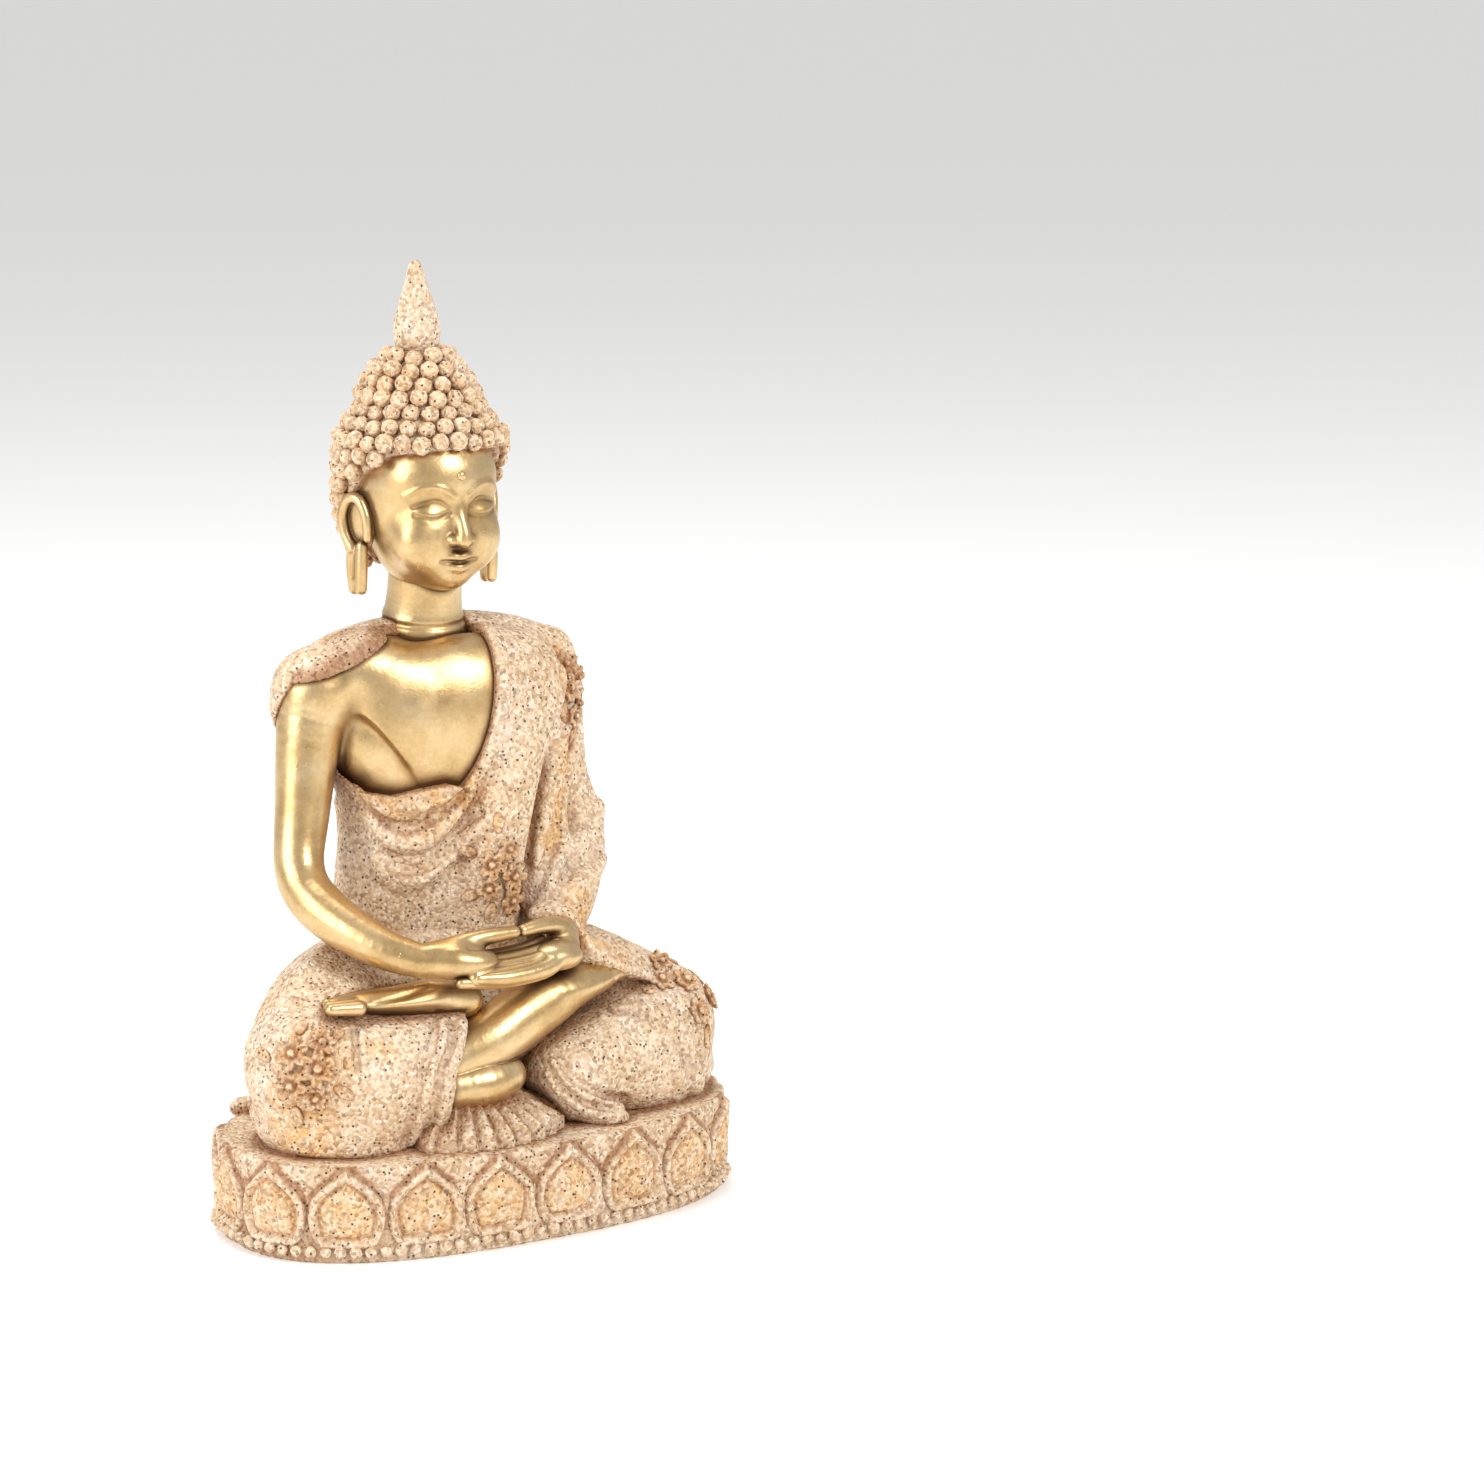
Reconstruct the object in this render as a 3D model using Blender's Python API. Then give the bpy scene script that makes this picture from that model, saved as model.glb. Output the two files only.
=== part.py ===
"""Seated Buddha statue in cast sandstone with gilded skin, about 150 mm tall, on an oval lotus base.

Frame: +Z up, origin at the centre of the base's underside. The figure faces -Y, its own right arm is at -X
and its left arm at +X. Every piece is a closed body, and glued neighbours keep a glue line of GLUE_GAP.
"""

import bmesh
import bpy
from math import cos, pi, sin, sqrt
from mathutils import Matrix, Vector

# ---------------------------------------------------------------- driving dimensions, in metres
MM = 0.001
HEIGHT = 0.150
BASE_HALF_LENGTH = 0.0440
BASE_HALF_DEPTH = 0.0255
BASE_HEIGHT = 0.0154
BASE_ROUNDNESS = 2.5  # exponent of the superellipse: 2 is an ellipse, more is squarer
PETAL_COUNT = 18
POINTS_PER_PETAL = 6
BEAD_COUNT = 96
PETAL_RELIEF = 0.0013
BEAD_RADIUS = 0.0010
GLUE_GAP = 0.0003
ROBE_THICKNESS = 0.0020
BODY_SIDES = 28
LIMB_SIDES = 14
ORIGIN_SHIFT = -0.0010  # brings the middle of the whole depth over the origin

# ---------------------------------------------------------------- landmarks of the figure, in millimetres
NECK_Y = 14.5
SHOULDER_R = (-22.2, 12.6, 82.2)
ELBOW_R = (-25.6, 9.0, 53.6)
WRIST_R = (-13.5, -10.0, 44.6)
SHOULDER_L = (21.5, 12.0, 82.5)
ELBOW_L = (26.0, 9.0, 55.0)
WRIST_L = (15.5, -8.5, 43.0)
KNEE_R = (-31.2, -5.5, 27.2)
KNEE_L = (32.0, -5.0, 25.8)
HAND_R_TIP = (10.0, -14.8, 43.6)
HAND_L_TIP = (-7.5, -16.0, 40.2)

# ---------------------------------------------------------------- finishes: colour, roughness, metallic
FINISHES = {
    "sandstone": ((0.78, 0.68, 0.57, 1.0), 0.85, 0.0),
    "gilding": ((0.72, 0.54, 0.26, 1.0), 0.35, 0.9),
}


# Each piece's shape before its neighbours are cut out of it, from which the neighbours' sockets are made.
WHOLE_SHAPES = {}


def start_clean():
    for item in list(bpy.data.objects):
        bpy.data.objects.remove(item, do_unlink=True)


def finish(name):
    """The material of that name, made the first time it is asked for."""
    made = bpy.data.materials.get(name)
    if made is None:
        colour, roughness, metallic = FINISHES[name]
        made = bpy.data.materials.new(name)
        made.use_nodes = True
        shader = made.node_tree.nodes["Principled BSDF"]
        shader.inputs["Base Color"].default_value = colour
        shader.inputs["Roughness"].default_value = roughness
        shader.inputs["Metallic"].default_value = metallic
        made.diffuse_color = colour
    return made


# ---------------------------------------------------------------- shapes
def add_object(name, bm, material):
    """A new object from a closed bmesh, with its faces pointing out."""
    bmesh.ops.recalc_face_normals(bm, faces=bm.faces[:])
    mesh = bpy.data.meshes.new(name)
    bm.to_mesh(mesh)
    bm.free()
    mesh.materials.append(finish(material))
    piece = bpy.data.objects.new(name, mesh)
    bpy.context.scene.collection.objects.link(piece)
    return keep_whole(piece)


def keep_whole(piece):
    WHOLE_SHAPES[piece.name] = piece.data.copy()
    return piece


def loft(name, rings, material):
    """One closed body through rings of equally many points, with both ends filled."""
    bm = bmesh.new()
    loops = [[bm.verts.new(point) for point in ring] for ring in rings]
    for low, high in zip(loops, loops[1:]):
        for i in range(len(low)):
            bm.faces.new((low[i - 1], low[i], high[i], high[i - 1]))
    bm.faces.new(loops[0])
    bm.faces.new(loops[-1])
    return add_object(name, bm, material)


def oval(half_x, half_y, sides, power=2.0):
    """Points of a superellipse round the origin, evenly turned."""
    points = []
    for i in range(sides):
        turn = 2 * pi * i / sides
        c, s = cos(turn), sin(turn)
        reach = (abs(c / half_x) ** power + abs(s / half_y) ** power) ** (-1 / power)
        points.append((reach * c, reach * s))
    return points


def stacked(name, rows, material, sides=BODY_SIDES, power=2.2):
    """A body of level ovals. Each row is (z, centre y, half width, half depth) in millimetres."""
    rings = []
    for z, y, half_width, half_depth in rows:
        ring = oval(half_width * MM, half_depth * MM, sides, power)
        rings.append([Vector((px, py + y * MM, z * MM)) for px, py in ring])
    return loft(name, rings, material)


def smooth_path(stations, steps=3):
    """Stations (point, half width, half height) in millimetres, with points of a smooth curve put between."""
    knots = [Vector(point) for point, _, _ in stations]
    sizes = [Vector((width, height)) for _, width, height in stations]
    last = len(knots) - 1
    path = []
    for i in range(last):
        before, start, end, after = (knots[max(0, min(last, i + k))] for k in (-1, 0, 1, 2))
        for step in range(steps):
            t = step / steps
            point = 0.5 * (
                2 * start
                + (end - before) * t
                + (2 * before - 5 * start + 4 * end - after) * t**2
                + (3 * start - before - 3 * end + after) * t**3
            )
            path.append((point, sizes[i].lerp(sizes[i + 1], t)))
    return path + [(knots[-1], sizes[-1])]


def limb(name, stations, material, sides=LIMB_SIDES, upright=(0, 0, 1)):
    """A limb of oval sections along a smooth path, with rounded ends."""
    path = smooth_path(stations)
    rings = []
    for i, (point, size) in enumerate(path):
        ahead = path[min(i + 1, len(path) - 1)][0] - path[max(i - 1, 0)][0]
        ahead.normalize()
        across = ahead.cross(Vector(upright)).normalized()
        above = across.cross(ahead)
        if i == 0:
            rings += round_end(point, -ahead, across, above, size, sides, inward=False)
        rings.append(section(point, across, above, size, sides))
        if i == len(path) - 1:
            rings += round_end(point, ahead, across, above, size, sides, inward=True)
    return loft(name, [[point * MM for point in ring] for ring in rings], material)


def section(point, across, above, size, sides):
    ring = []
    for i in range(sides):
        turn = 2 * pi * i / sides
        ring.append(point + across * size.x * cos(turn) + above * size.y * sin(turn))
    return ring


def round_end(point, outward, across, above, size, sides, inward):
    """Two shrinking rings beyond an end, so that the limb closes in a dome."""
    dome = []
    for lean in (0.7, 1.25):
        reach = min(size.x, size.y) * sin(lean)
        dome.append(section(point + outward * reach, across, above, size * cos(lean), sides))
    return dome if inward else dome[::-1]


def band(name, levels, material):
    """A closed ring of material: levels are (z, inner outline, outer outline), bottom first."""
    bm = bmesh.new()
    loops = []
    for z, inner, outer in levels:
        loops.append([bm.verts.new((x, y, z)) for x, y in outer])
    for z, inner, outer in reversed(levels):
        loops.append([bm.verts.new((x, y, z)) for x, y in inner])
    for this, following in zip(loops, loops[1:] + loops[:1]):
        for i in range(len(this)):
            bm.faces.new((this[i - 1], this[i], following[i], following[i - 1]))
    return add_object(name, bm, material)


def base_outline(inset, sides):
    """The base's oval, drawn in by inset, with its points evenly spaced along it."""
    fine = oval(BASE_HALF_LENGTH - inset, BASE_HALF_DEPTH - inset, 720, BASE_ROUNDNESS)
    closed = fine + fine[:1]
    along = [0.0]
    for (ax, ay), (bx, by) in zip(closed, closed[1:]):
        along.append(along[-1] + sqrt((bx - ax) ** 2 + (by - ay) ** 2))
    points, k = [], 0
    for i in range(sides):
        wanted = along[-1] * i / sides
        while along[k + 1] < wanted:
            k += 1
        t = (wanted - along[k]) / (along[k + 1] - along[k])
        (ax, ay), (bx, by) = closed[k], closed[k + 1]
        points.append((ax + (bx - ax) * t, ay + (by - ay) * t))
    return points


# ---------------------------------------------------------------- joining and fitting
def settle(piece):
    """Gives the piece its evaluated mesh and drops its modifiers."""
    graph = bpy.context.evaluated_depsgraph_get()
    done = bpy.data.meshes.new_from_object(piece.evaluated_get(graph))
    piece.modifiers.clear()
    piece.data = done
    return piece


def boolean(piece, other, operation):
    cut = piece.modifiers.new(operation.lower(), "BOOLEAN")
    cut.operation = operation
    cut.object = other
    cut.solver = "EXACT"
    bpy.context.view_layer.update()
    settle(piece)


def join(piece, *others):
    """Unites the others with the piece and removes them."""
    for other in others:
        boolean(piece, other, "UNION")
        bpy.data.objects.remove(other, do_unlink=True)
    return piece


def cut(piece, *cutters):
    """Cuts the piece with the cutters and removes them."""
    for cutter in cutters:
        boolean(piece, cutter, "DIFFERENCE")
        bpy.data.objects.remove(cutter, do_unlink=True)
    return keep_largest(piece)


def grown_copy(piece, gap):
    """A copy of the piece's whole shape, moved out along its normals by the gap."""
    grown = bpy.data.objects.new(piece.name + "_socket", WHOLE_SHAPES[piece.name].copy())
    bpy.context.scene.collection.objects.link(grown)
    swell = grown.modifiers.new("swell", "DISPLACE")
    swell.mid_level = 0.0
    swell.strength = gap
    bpy.context.view_layer.update()
    return settle(grown)


def fit_around(piece, *neighbours, gap=GLUE_GAP * 1.3):
    """Cuts the piece back so that each neighbour sits in it with a glue line between."""
    return cut(piece, *[grown_copy(neighbour, gap) for neighbour in neighbours])


def keep_largest(piece):
    """Drops crumbs that a cut has parted from the piece."""
    bm = bmesh.new()
    bm.from_mesh(piece.data)
    left = set(bm.verts)
    islands = []
    while left:
        island, todo = set(), [left.pop()]
        while todo:
            vert = todo.pop()
            island.add(vert)
            for edge in vert.link_edges:
                other = edge.other_vert(vert)
                if other in left:
                    left.remove(other)
                    todo.append(other)
        islands.append(island)
    islands.sort(key=len)
    crumbs = [vert for island in islands[:-1] for vert in island]
    bmesh.ops.delete(bm, geom=crumbs, context="VERTS")
    bm.to_mesh(piece.data)
    bm.free()
    return piece


def block(name, low, high, material="sandstone"):
    """A box between two corners in millimetres."""
    bm = bmesh.new()
    bmesh.ops.create_cube(bm, size=1.0)
    size = (Vector(high) - Vector(low)) * MM
    middle = (Vector(high) + Vector(low)) / 2 * MM
    bmesh.ops.transform(
        bm, matrix=Matrix.Translation(middle) @ Matrix.Diagonal((*size, 1)), verts=bm.verts
    )
    return add_object(name, bm, material)


def egg(name, centre, radii, material, tilt=0.0, rings=10, sides=20):
    """An ellipsoid in millimetres, tilted about X by the angle in radians."""
    bm = bmesh.new()
    bmesh.ops.create_uvsphere(bm, u_segments=sides, v_segments=rings, radius=MM)
    place = (
        Matrix.Translation(Vector(centre) * MM)
        @ Matrix.Rotation(tilt, 4, "X")
        @ Matrix.Diagonal((*radii, 1))
    )
    bmesh.ops.transform(bm, matrix=place, verts=bm.verts)
    return add_object(name, bm, material)


# ---------------------------------------------------------------- the base
def build_base():
    """An oval slab with a relief band of lotus petals above a row of beads."""
    height = BASE_HEIGHT / MM
    wall = PETAL_RELIEF + GLUE_GAP
    sides = 96
    foot = base_outline(wall, sides)
    slab = loft(
        "lotus_base",
        [
            [Vector((x, y, z * MM)) for x, y in outline]
            for z, outline in (
                (0, base_outline(wall + 0.6 * MM, sides)),
                (0.6, foot),
                (height - 0.4, foot),
                (height, base_outline(wall + 0.4 * MM, sides)),
            )
        ],
        "sandstone",
    )
    petal_sides = PETAL_COUNT * POINTS_PER_PETAL
    inner = base_outline(PETAL_RELIEF, petal_sides)

    def scalloped(swell, sharpness):
        outline = []
        for i, (x, y) in enumerate(inner):
            lobe = abs(sin(pi * i / POINTS_PER_PETAL)) ** sharpness
            out = Vector((x, y)).normalized() * (0.3 * MM + (PETAL_RELIEF - 0.3 * MM) * lobe * swell)
            outline.append((x + out.x, y + out.y))
        return outline

    petals = band(
        "petal_band",
        [
            (3.1 * MM, inner, scalloped(0.6, 0.5)),
            (6.0 * MM, inner, scalloped(1.0, 0.4)),
            (10.5 * MM, inner, scalloped(1.0, 0.7)),
            (BASE_HEIGHT - 0.4 * MM, inner, scalloped(0.6, 3.0)),
        ],
        "sandstone",
    )
    seat = base_outline(PETAL_RELIEF, BEAD_COUNT * 2)

    def beaded(swell):
        outline = []
        for i, (x, y) in enumerate(seat):
            out = Vector((x, y)).normalized() * (0.6 + 0.6 * (i % 2)) * BEAD_RADIUS * swell
            outline.append((x + out.x, y + out.y))
        return outline

    middle = 1.8 * MM
    beads = band(
        "bead_band",
        [
            (middle - BEAD_RADIUS, seat, beaded(0.4)),
            (middle, seat, beaded(1.0)),
            (middle + BEAD_RADIUS, seat, beaded(0.4)),
        ],
        "sandstone",
    )
    return slab, petals, beads


# ---------------------------------------------------------------- head and neck
def build_head():
    neck = stacked(
        "neck",
        [
            (85.0, NECK_Y, 4.0, 4.0),
            (89.6, NECK_Y, 4.0, 4.0),
            (89.8, NECK_Y, 7.0, 6.6),
            (93.0, NECK_Y, 6.4, 6.2),
            (98.0, NECK_Y - 0.3, 5.9, 6.0),
            (99.0, NECK_Y - 0.4, 4.2, 4.2),
            (104.5, NECK_Y - 0.6, 4.0, 4.0),
        ],
        "gilding",
        sides=20,
        power=2.0,
    )
    head = stacked(
        "head",
        [
            (97.6, 9.4, 3.0, 3.0),
            (99.0, 11.0, 6.6, 7.2),
            (102.5, 12.6, 9.4, 10.2),
            (107.0, 13.4, 10.9, 11.5),
            (112.0, 13.9, 11.4, 12.0),
            (117.0, 14.2, 11.3, 11.9),
            (121.0, 14.6, 10.2, 10.9),
            (125.0, 15.0, 7.0, 7.8),
        ],
        "gilding",
        power=2.1,
    )
    nose = limb(
        "nose",
        [((0, 2.6, 113.6), 0.9, 0.9), ((0, 1.6, 109.4), 1.1, 1.1), ((0, 1.1, 107.4), 1.5, 1.2)],
        "gilding",
        sides=8,
        upright=(0, -1, 0),
    )
    keep_whole(join(head, nose))
    fit_around(head, neck)
    ears = []
    for name, side in (("right_ear", -1), ("left_ear", 1)):
        ear = limb(
            name,
            [
                ((side * 11.6, 15.0, 113.0), 2.2, 1.2),
                ((side * 12.3, 15.2, 109.5), 2.4, 1.2),
                ((side * 12.2, 14.6, 104.0), 1.8, 1.0),
                ((side * 12.0, 14.2, 99.6), 1.9, 1.0),
            ],
            "gilding",
            sides=12,
            upright=(side, 0, 0),
        )
        ears.append(fit_around(ear, head))
    hair = stacked(
        "hair_cap",
        [
            (103.0, 18.6, 8.0, 6.4),
            (107.0, 17.6, 11.6, 9.4),
            (112.0, 16.2, 13.4, 11.2),
            (118.0, 14.8, 13.8, 12.6),
            (122.5, 14.8, 13.4, 12.4),
            (126.0, 15.0, 11.8, 11.2),
            (128.2, 15.2, 9.8, 9.6),
        ],
        "sandstone",
    )
    # The hairline: the cap is cut away in front of a plane that leans back from the forehead.
    face_side = block("face_side", (-20, -26, -17), (20, 0, 9))
    face_side.data.transform(Matrix.Rotation(-0.32, 4, "X"))
    face_side.data.transform(Matrix.Translation(Vector((0, 12.2, 112.0)) * MM))
    cut(hair, face_side)
    fit_around(hair, head, *ears)
    fit_around(hair, neck)
    finial = stacked(
        "finial",
        [
            (131.0, 15.5, 1.5, 1.5),
            (136.0, 15.5, 1.5, 1.5),
            (136.2, 15.5, 2.9, 2.9),
            (138.6, 15.6, 3.9, 3.9),
            (140.5, 15.6, 3.6, 3.6),
            (143.0, 15.7, 2.8, 2.8),
            (148.0, 15.9, 1.4, 1.4),
            (HEIGHT / MM - 0.5, 16.0, 1.1, 1.1),
            (HEIGHT / MM, 16.0, 0.5, 0.5),
        ],
        "sandstone",
        sides=16,
        power=2.0,
    )
    mound = stacked(
        "ushnisha",
        [
            (128.6, 15.4, 10.4, 10.4),
            (131.0, 15.4, 9.2, 9.2),
            (134.0, 15.5, 7.0, 7.0),
            (136.0, 15.5, 5.0, 5.0),
        ],
        "sandstone",
        sides=24,
        power=2.0,
    )
    fit_around(mound, finial)
    urna = egg("urna", (0, 1.85, 116.6), (0.75, 0.5, 0.75), "gilding", rings=6, sides=10)
    fit_around(urna, head, gap=0.0001)
    return neck, head, ears, hair, mound


# ---------------------------------------------------------------- torso, robe and arms
TORSO_ROWS = [
    (37.0, 11.0, 13.0, 9.5),
    (45.0, 11.0, 15.2, 10.8),
    (54.0, 11.2, 15.8, 10.4),
    (64.0, 11.6, 17.6, 10.8),
    (72.0, 12.0, 19.4, 11.4),
    (79.0, 12.8, 19.6, 10.6),
    (84.0, 13.4, 17.6, 9.0),
    (87.6, 14.0, 13.0, 7.6),
    (90.2, 14.4, 8.2, 6.8),
]


def robe_front(x, z, lift):
    """The point on the robe's front over x and z in millimetres, raised off the cloth by lift."""
    for low, high in zip(TORSO_ROWS, TORSO_ROWS[1:]):
        if z <= high[0]:
            break
    t = (z - low[0]) / (high[0] - low[0])
    y, wide, deep = (low[k] + (high[k] - low[k]) * t for k in (1, 2, 3))
    thick = ROBE_THICKNESS / MM
    across = min(abs(x) / (wide + thick), 0.98)
    return x, y - (deep + thick) * (1 - across**2.2) ** (1 / 2.2) - lift, z


def build_torso(neck):
    return fit_around(stacked("torso", TORSO_ROWS, "gilding"), neck)


def build_arms(torso):
    arm = limb(
        "right_arm",
        [
            (SHOULDER_R, 5.6, 5.6),
            ((-24.0, 12.2, 74.0), 5.4, 5.2),
            ((-25.2, 10.8, 63.0), 4.9, 4.8),
            (ELBOW_R, 4.5, 4.4),
            ((-22.4, 2.0, 49.4), 4.3, 4.1),
            ((-17.8, -5.4, 46.4), 3.7, 3.5),
            (WRIST_R, 3.1, 2.7),
        ],
        "gilding",
        upright=(-0.25, 0.9, 0.35),
    )
    sleeve = limb(
        "left_sleeve",
        [
            (SHOULDER_L, 6.6, 6.6),
            ((23.4, 12.0, 72.0), 6.8, 6.6),
            (ELBOW_L, 7.4, 7.0),
            ((24.6, 1.0, 48.4), 7.0, 6.6),
            ((21.4, -4.6, 44.2), 5.6, 5.4),
        ],
        "sandstone",
        upright=(0.25, 0.9, 0.35),
    )
    for piece in (arm, sleeve):
        fit_around(piece, torso)
    hand_r = limb(
        "right_hand",
        [
            (WRIST_R, 3.4, 2.8),
            ((-8.5, -13.0, 44.4), 4.8, 2.8),
            ((-2.0, -14.6, 44.0), 5.4, 2.5),
            ((4.5, -15.0, 43.8), 4.6, 1.9),
            (HAND_R_TIP, 2.6, 1.2),
        ],
        "gilding",
    )
    fit_around(hand_r, arm)
    hand_l = limb(
        "left_hand",
        [
            ((21.0, -6.0, 44.2), 3.0, 2.6),
            (WRIST_L, 3.6, 2.7),
            ((8.0, -14.0, 41.2), 5.4, 2.8),
            ((0.0, -16.6, 39.9), 5.0, 2.1),
            (HAND_L_TIP, 2.6, 1.3),
        ],
        "gilding",
    )
    fit_around(hand_l, hand_r, sleeve)
    return arm, sleeve, hand_r, hand_l


def build_robe(torso, neck, arm, sleeve):
    cap = limb(
        "right_shoulder_drape",
        [
            ((-7.5, 15.2, 87.8), 4.6, 4.2),
            ((-14.5, 14.4, 85.6), 6.0, 5.4),
            ((-21.6, 13.0, 82.0), 7.2, 7.2),
            ((-22.8, 12.8, 79.0), 7.2, 7.2),
        ],
        "sandstone",
        sides=18,
        upright=(0.1, 1, 0.2),
    )
    # The drape's edge runs forward from the neck, over the shoulder, and down at the back of the arm.
    edge = block("drape_edge", (-60, -60, 0), (60, 60, 60))
    facing = Vector((0.366, -0.372, -0.852)).to_track_quat("Z", "Y").to_matrix().to_4x4()
    edge.data.transform(Matrix.Translation(Vector((-9.5, 10.0, 91.0)) * MM) @ facing)
    keep_whole(cut(cap, edge))
    fit_around(cap, neck, torso, arm)
    thick = ROBE_THICKNESS / MM
    rows = [
        (z + (1.6 if z > 85 else 0), y, wide + thick, deep + thick)
        for z, y, wide, deep in TORSO_ROWS
    ]
    robe = stacked("upper_robe", rows, "sandstone")
    for dip in (60.5, 55.0, 49.0):
        hang = ((-15.5, dip + 5.5), (-10.0, dip + 1.6), (-4.0, dip), (2.0, dip + 2.0), (6.5, dip + 6.5))
        fold = [(robe_front(x, z, 0.1), 1.3, 1.0) for x, z in hang]
        join(robe, limb("fold", fold, "sandstone", sides=8, upright=(0, -1, 0)))
    neckline = ((-32, 66), (3, 65.5), (8.6, 72), (9.6, 80), (7.6, 96), (-32, 96))
    bare = loft(
        "bared_chest",
        [[Vector((x, y, z)) * MM for x, z in neckline] for y in (-20, 12.5)],
        "sandstone",
    )
    keep_whole(robe)
    cut(robe, bare)
    cut(robe, block("shoulder_side", (-40, -20, 78), (-5.0, 15, 100)))
    fit_around(robe, neck, torso, arm, sleeve, cap)
    return robe, cap


# ---------------------------------------------------------------- legs and their drapery
def build_legs(base, torso, robe, arms):
    floor = BASE_HEIGHT / MM + GLUE_GAP / MM
    foot_r = limb(
        "right_foot",
        [
            ((-7.0, -19.0, 24.0), 4.2, 4.0),
            ((3.0, -18.2, 28.0), 4.3, 3.6),
            ((12.0, -15.0, 31.4), 4.6, 3.2),
            ((21.0, -10.4, 34.2), 4.6, 2.4),
            ((28.5, -6.6, 35.6), 2.6, 1.2),
        ],
        "gilding",
    )
    foot_l = limb(
        "left_foot",
        [
            ((-3.0, -13.4, 35.0), 3.2, 2.4),
            ((-10.0, -10.0, 36.6), 4.0, 2.2),
            ((-17.0, -7.4, 37.4), 3.8, 1.8),
            ((-22.5, -5.6, 37.4), 2.4, 1.2),
        ],
        "gilding",
    )
    fit_around(foot_l, *arms, foot_r)
    fit_around(foot_r, *arms)
    seat = stacked(
        "seat_drape",
        [
            (12.4, 9.0, 9.0, 6.0),
            (floor, 9.0, 9.0, 6.0),
            (floor + 0.02, 8.0, 31.0, 16.0),
            (22.0, 8.5, 32.5, 16.3),
            (30.0, 9.0, 29.0, 15.6),
            (37.0, 10.0, 23.0, 14.4),
            (43.0, 11.0, 18.4, 13.2),
        ],
        "sandstone",
    )
    legs = []
    shapes = (
        ("right_leg_drape", (-15.0, 7.0, 29.5), KNEE_R, (-8.5, -10.5, 25.6), 11.2, 10.2),
        ("left_leg_drape", (15.0, 7.0, 28.5), KNEE_L, (11.5, -9.5, 22.5), 10.8, 8.0),
    )
    for name, hip, knee, shin_end, knee_size, shin_size in shapes:
        thigh = limb(
            name,
            [(hip, 12.0, 11.6), ((Vector(hip) + Vector(knee)) / 2, 12.0, 11.6), (knee, knee_size, knee_size)],
            "sandstone",
            sides=18,
        )
        shin = limb(
            name + "_shin",
            [(knee, knee_size, knee_size), (shin_end, shin_size, shin_size)],
            "sandstone",
            sides=18,
        )
        leg = join(thigh, shin)
        leg = cut(leg, block("below", (-60, -60, -20), (60, 60, floor)))
        legs.append(keep_whole(leg))
    right_leg, left_leg = legs
    fit_around(seat, torso, robe)
    fit_around(base, seat)
    fit_around(right_leg, seat, foot_r, foot_l, *arms, torso, robe)
    fit_around(left_leg, seat, right_leg, foot_r, *arms, torso, robe)
    fan = build_fan(floor)
    fit_around(fan, right_leg, left_leg, foot_r)
    return right_leg, left_leg


def build_fan(floor):
    """The pleated hem that spreads over the base between the shins."""
    pleats, apex = 7, Vector((-4.0, -12.5, floor))
    rings = []
    for reach, thick in ((0.35, 5.0), (0.7, 3.0), (1.0, 2.0)):
        low, high = [], []
        for i in range(2 * pleats + 1):
            share = i / (2 * pleats)
            rim = Vector((-16.0 + 24.0 * share, -22.0 - 3.0 * share + 4.6 * share**2, floor))
            point = apex.lerp(rim, reach)
            low.append(point * MM)
            crest = thick * (1.0 if i % 2 else 0.72)
            high.append((point + Vector((0, 0, crest))) * MM)
        rings.append(low + high[::-1])
    return loft("hem_fan", rings, "sandstone")


# ---------------------------------------------------------------- relief ornaments
def flower_plate(name, centre, outward, radius, host, petals=6):
    """A relief rosette that lies on its host, with scalloped petals and a raised heart."""
    bm = bmesh.new()
    sides = petals * 4
    rings = []
    for height, share in ((-1.4, 0.94), (0.5, 1.0), (1.1, 0.62), (1.5, 0.28)):
        ring = []
        for i in range(sides):
            turn = 2 * pi * i / sides
            reach = radius * share * (0.84 + 0.16 * abs(cos(petals * turn / 2)))
            ring.append(bm.verts.new((reach * cos(turn), reach * sin(turn), height)))
        rings.append(ring)
    for low, high in zip(rings, rings[1:]):
        for i in range(sides):
            bm.faces.new((low[i - 1], low[i], high[i], high[i - 1]))
    bm.faces.new(rings[0])
    bm.faces.new(rings[-1])
    turn = Vector(outward).to_track_quat("Z", "Y").to_matrix().to_4x4()
    place = Matrix.Translation(Vector(centre) * MM) @ turn @ Matrix.Scale(MM, 4)
    bmesh.ops.transform(bm, matrix=place, verts=bm.verts)
    return fit_around(add_object(name, bm, "sandstone"), *host)


def main():
    start_clean()
    slab, petals, beads = build_base()
    neck, head, ears, hair, mound = build_head()
    torso = build_torso(neck)
    arm, sleeve, hand_r, hand_l = build_arms(torso)
    robe, cap = build_robe(torso, neck, arm, sleeve)
    right_leg, left_leg = build_legs(slab, torso, robe, (arm, hand_r, sleeve, hand_l))
    flower_plate("sash_flowers", (9.6, -1.0, 56.0), (0.35, -1, 0.1), 5.0, (robe,))
    flower_plate("shoulder_flowers", (22.6, 5.2, 80.0), (0.5, -1, 0.5), 4.6, (sleeve, robe))
    flower_plate("right_knee_flowers", (-37.6, -12.9, 30.4), (-0.75, -0.7, 0.35), 6.0, (right_leg,))
    flower_plate("left_knee_flowers", (39.5, -11.3, 30.8), (0.7, -0.6, 0.5), 5.0, (left_leg,))
    for piece in bpy.context.scene.objects:
        piece.data.transform(Matrix.Translation((0, ORIGIN_SHIFT, 0)))
        piece.data.shade_smooth()
        piece.data.set_sharp_from_angle(angle=pi / 5)


main()
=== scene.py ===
# %% [markdown]
# # A seated Buddha in sandstone and gilding
# The figure is 150 mm tall here and sits on an oval lotus base. A real one is most likely one casting of
# sand-filled resin, with the skin painted in antique gold. Here every robe panel, hand and ear is a piece of
# its own, so that each can be finished or replaced without touching the others.

from math import cos, pi, radians, sin

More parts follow.
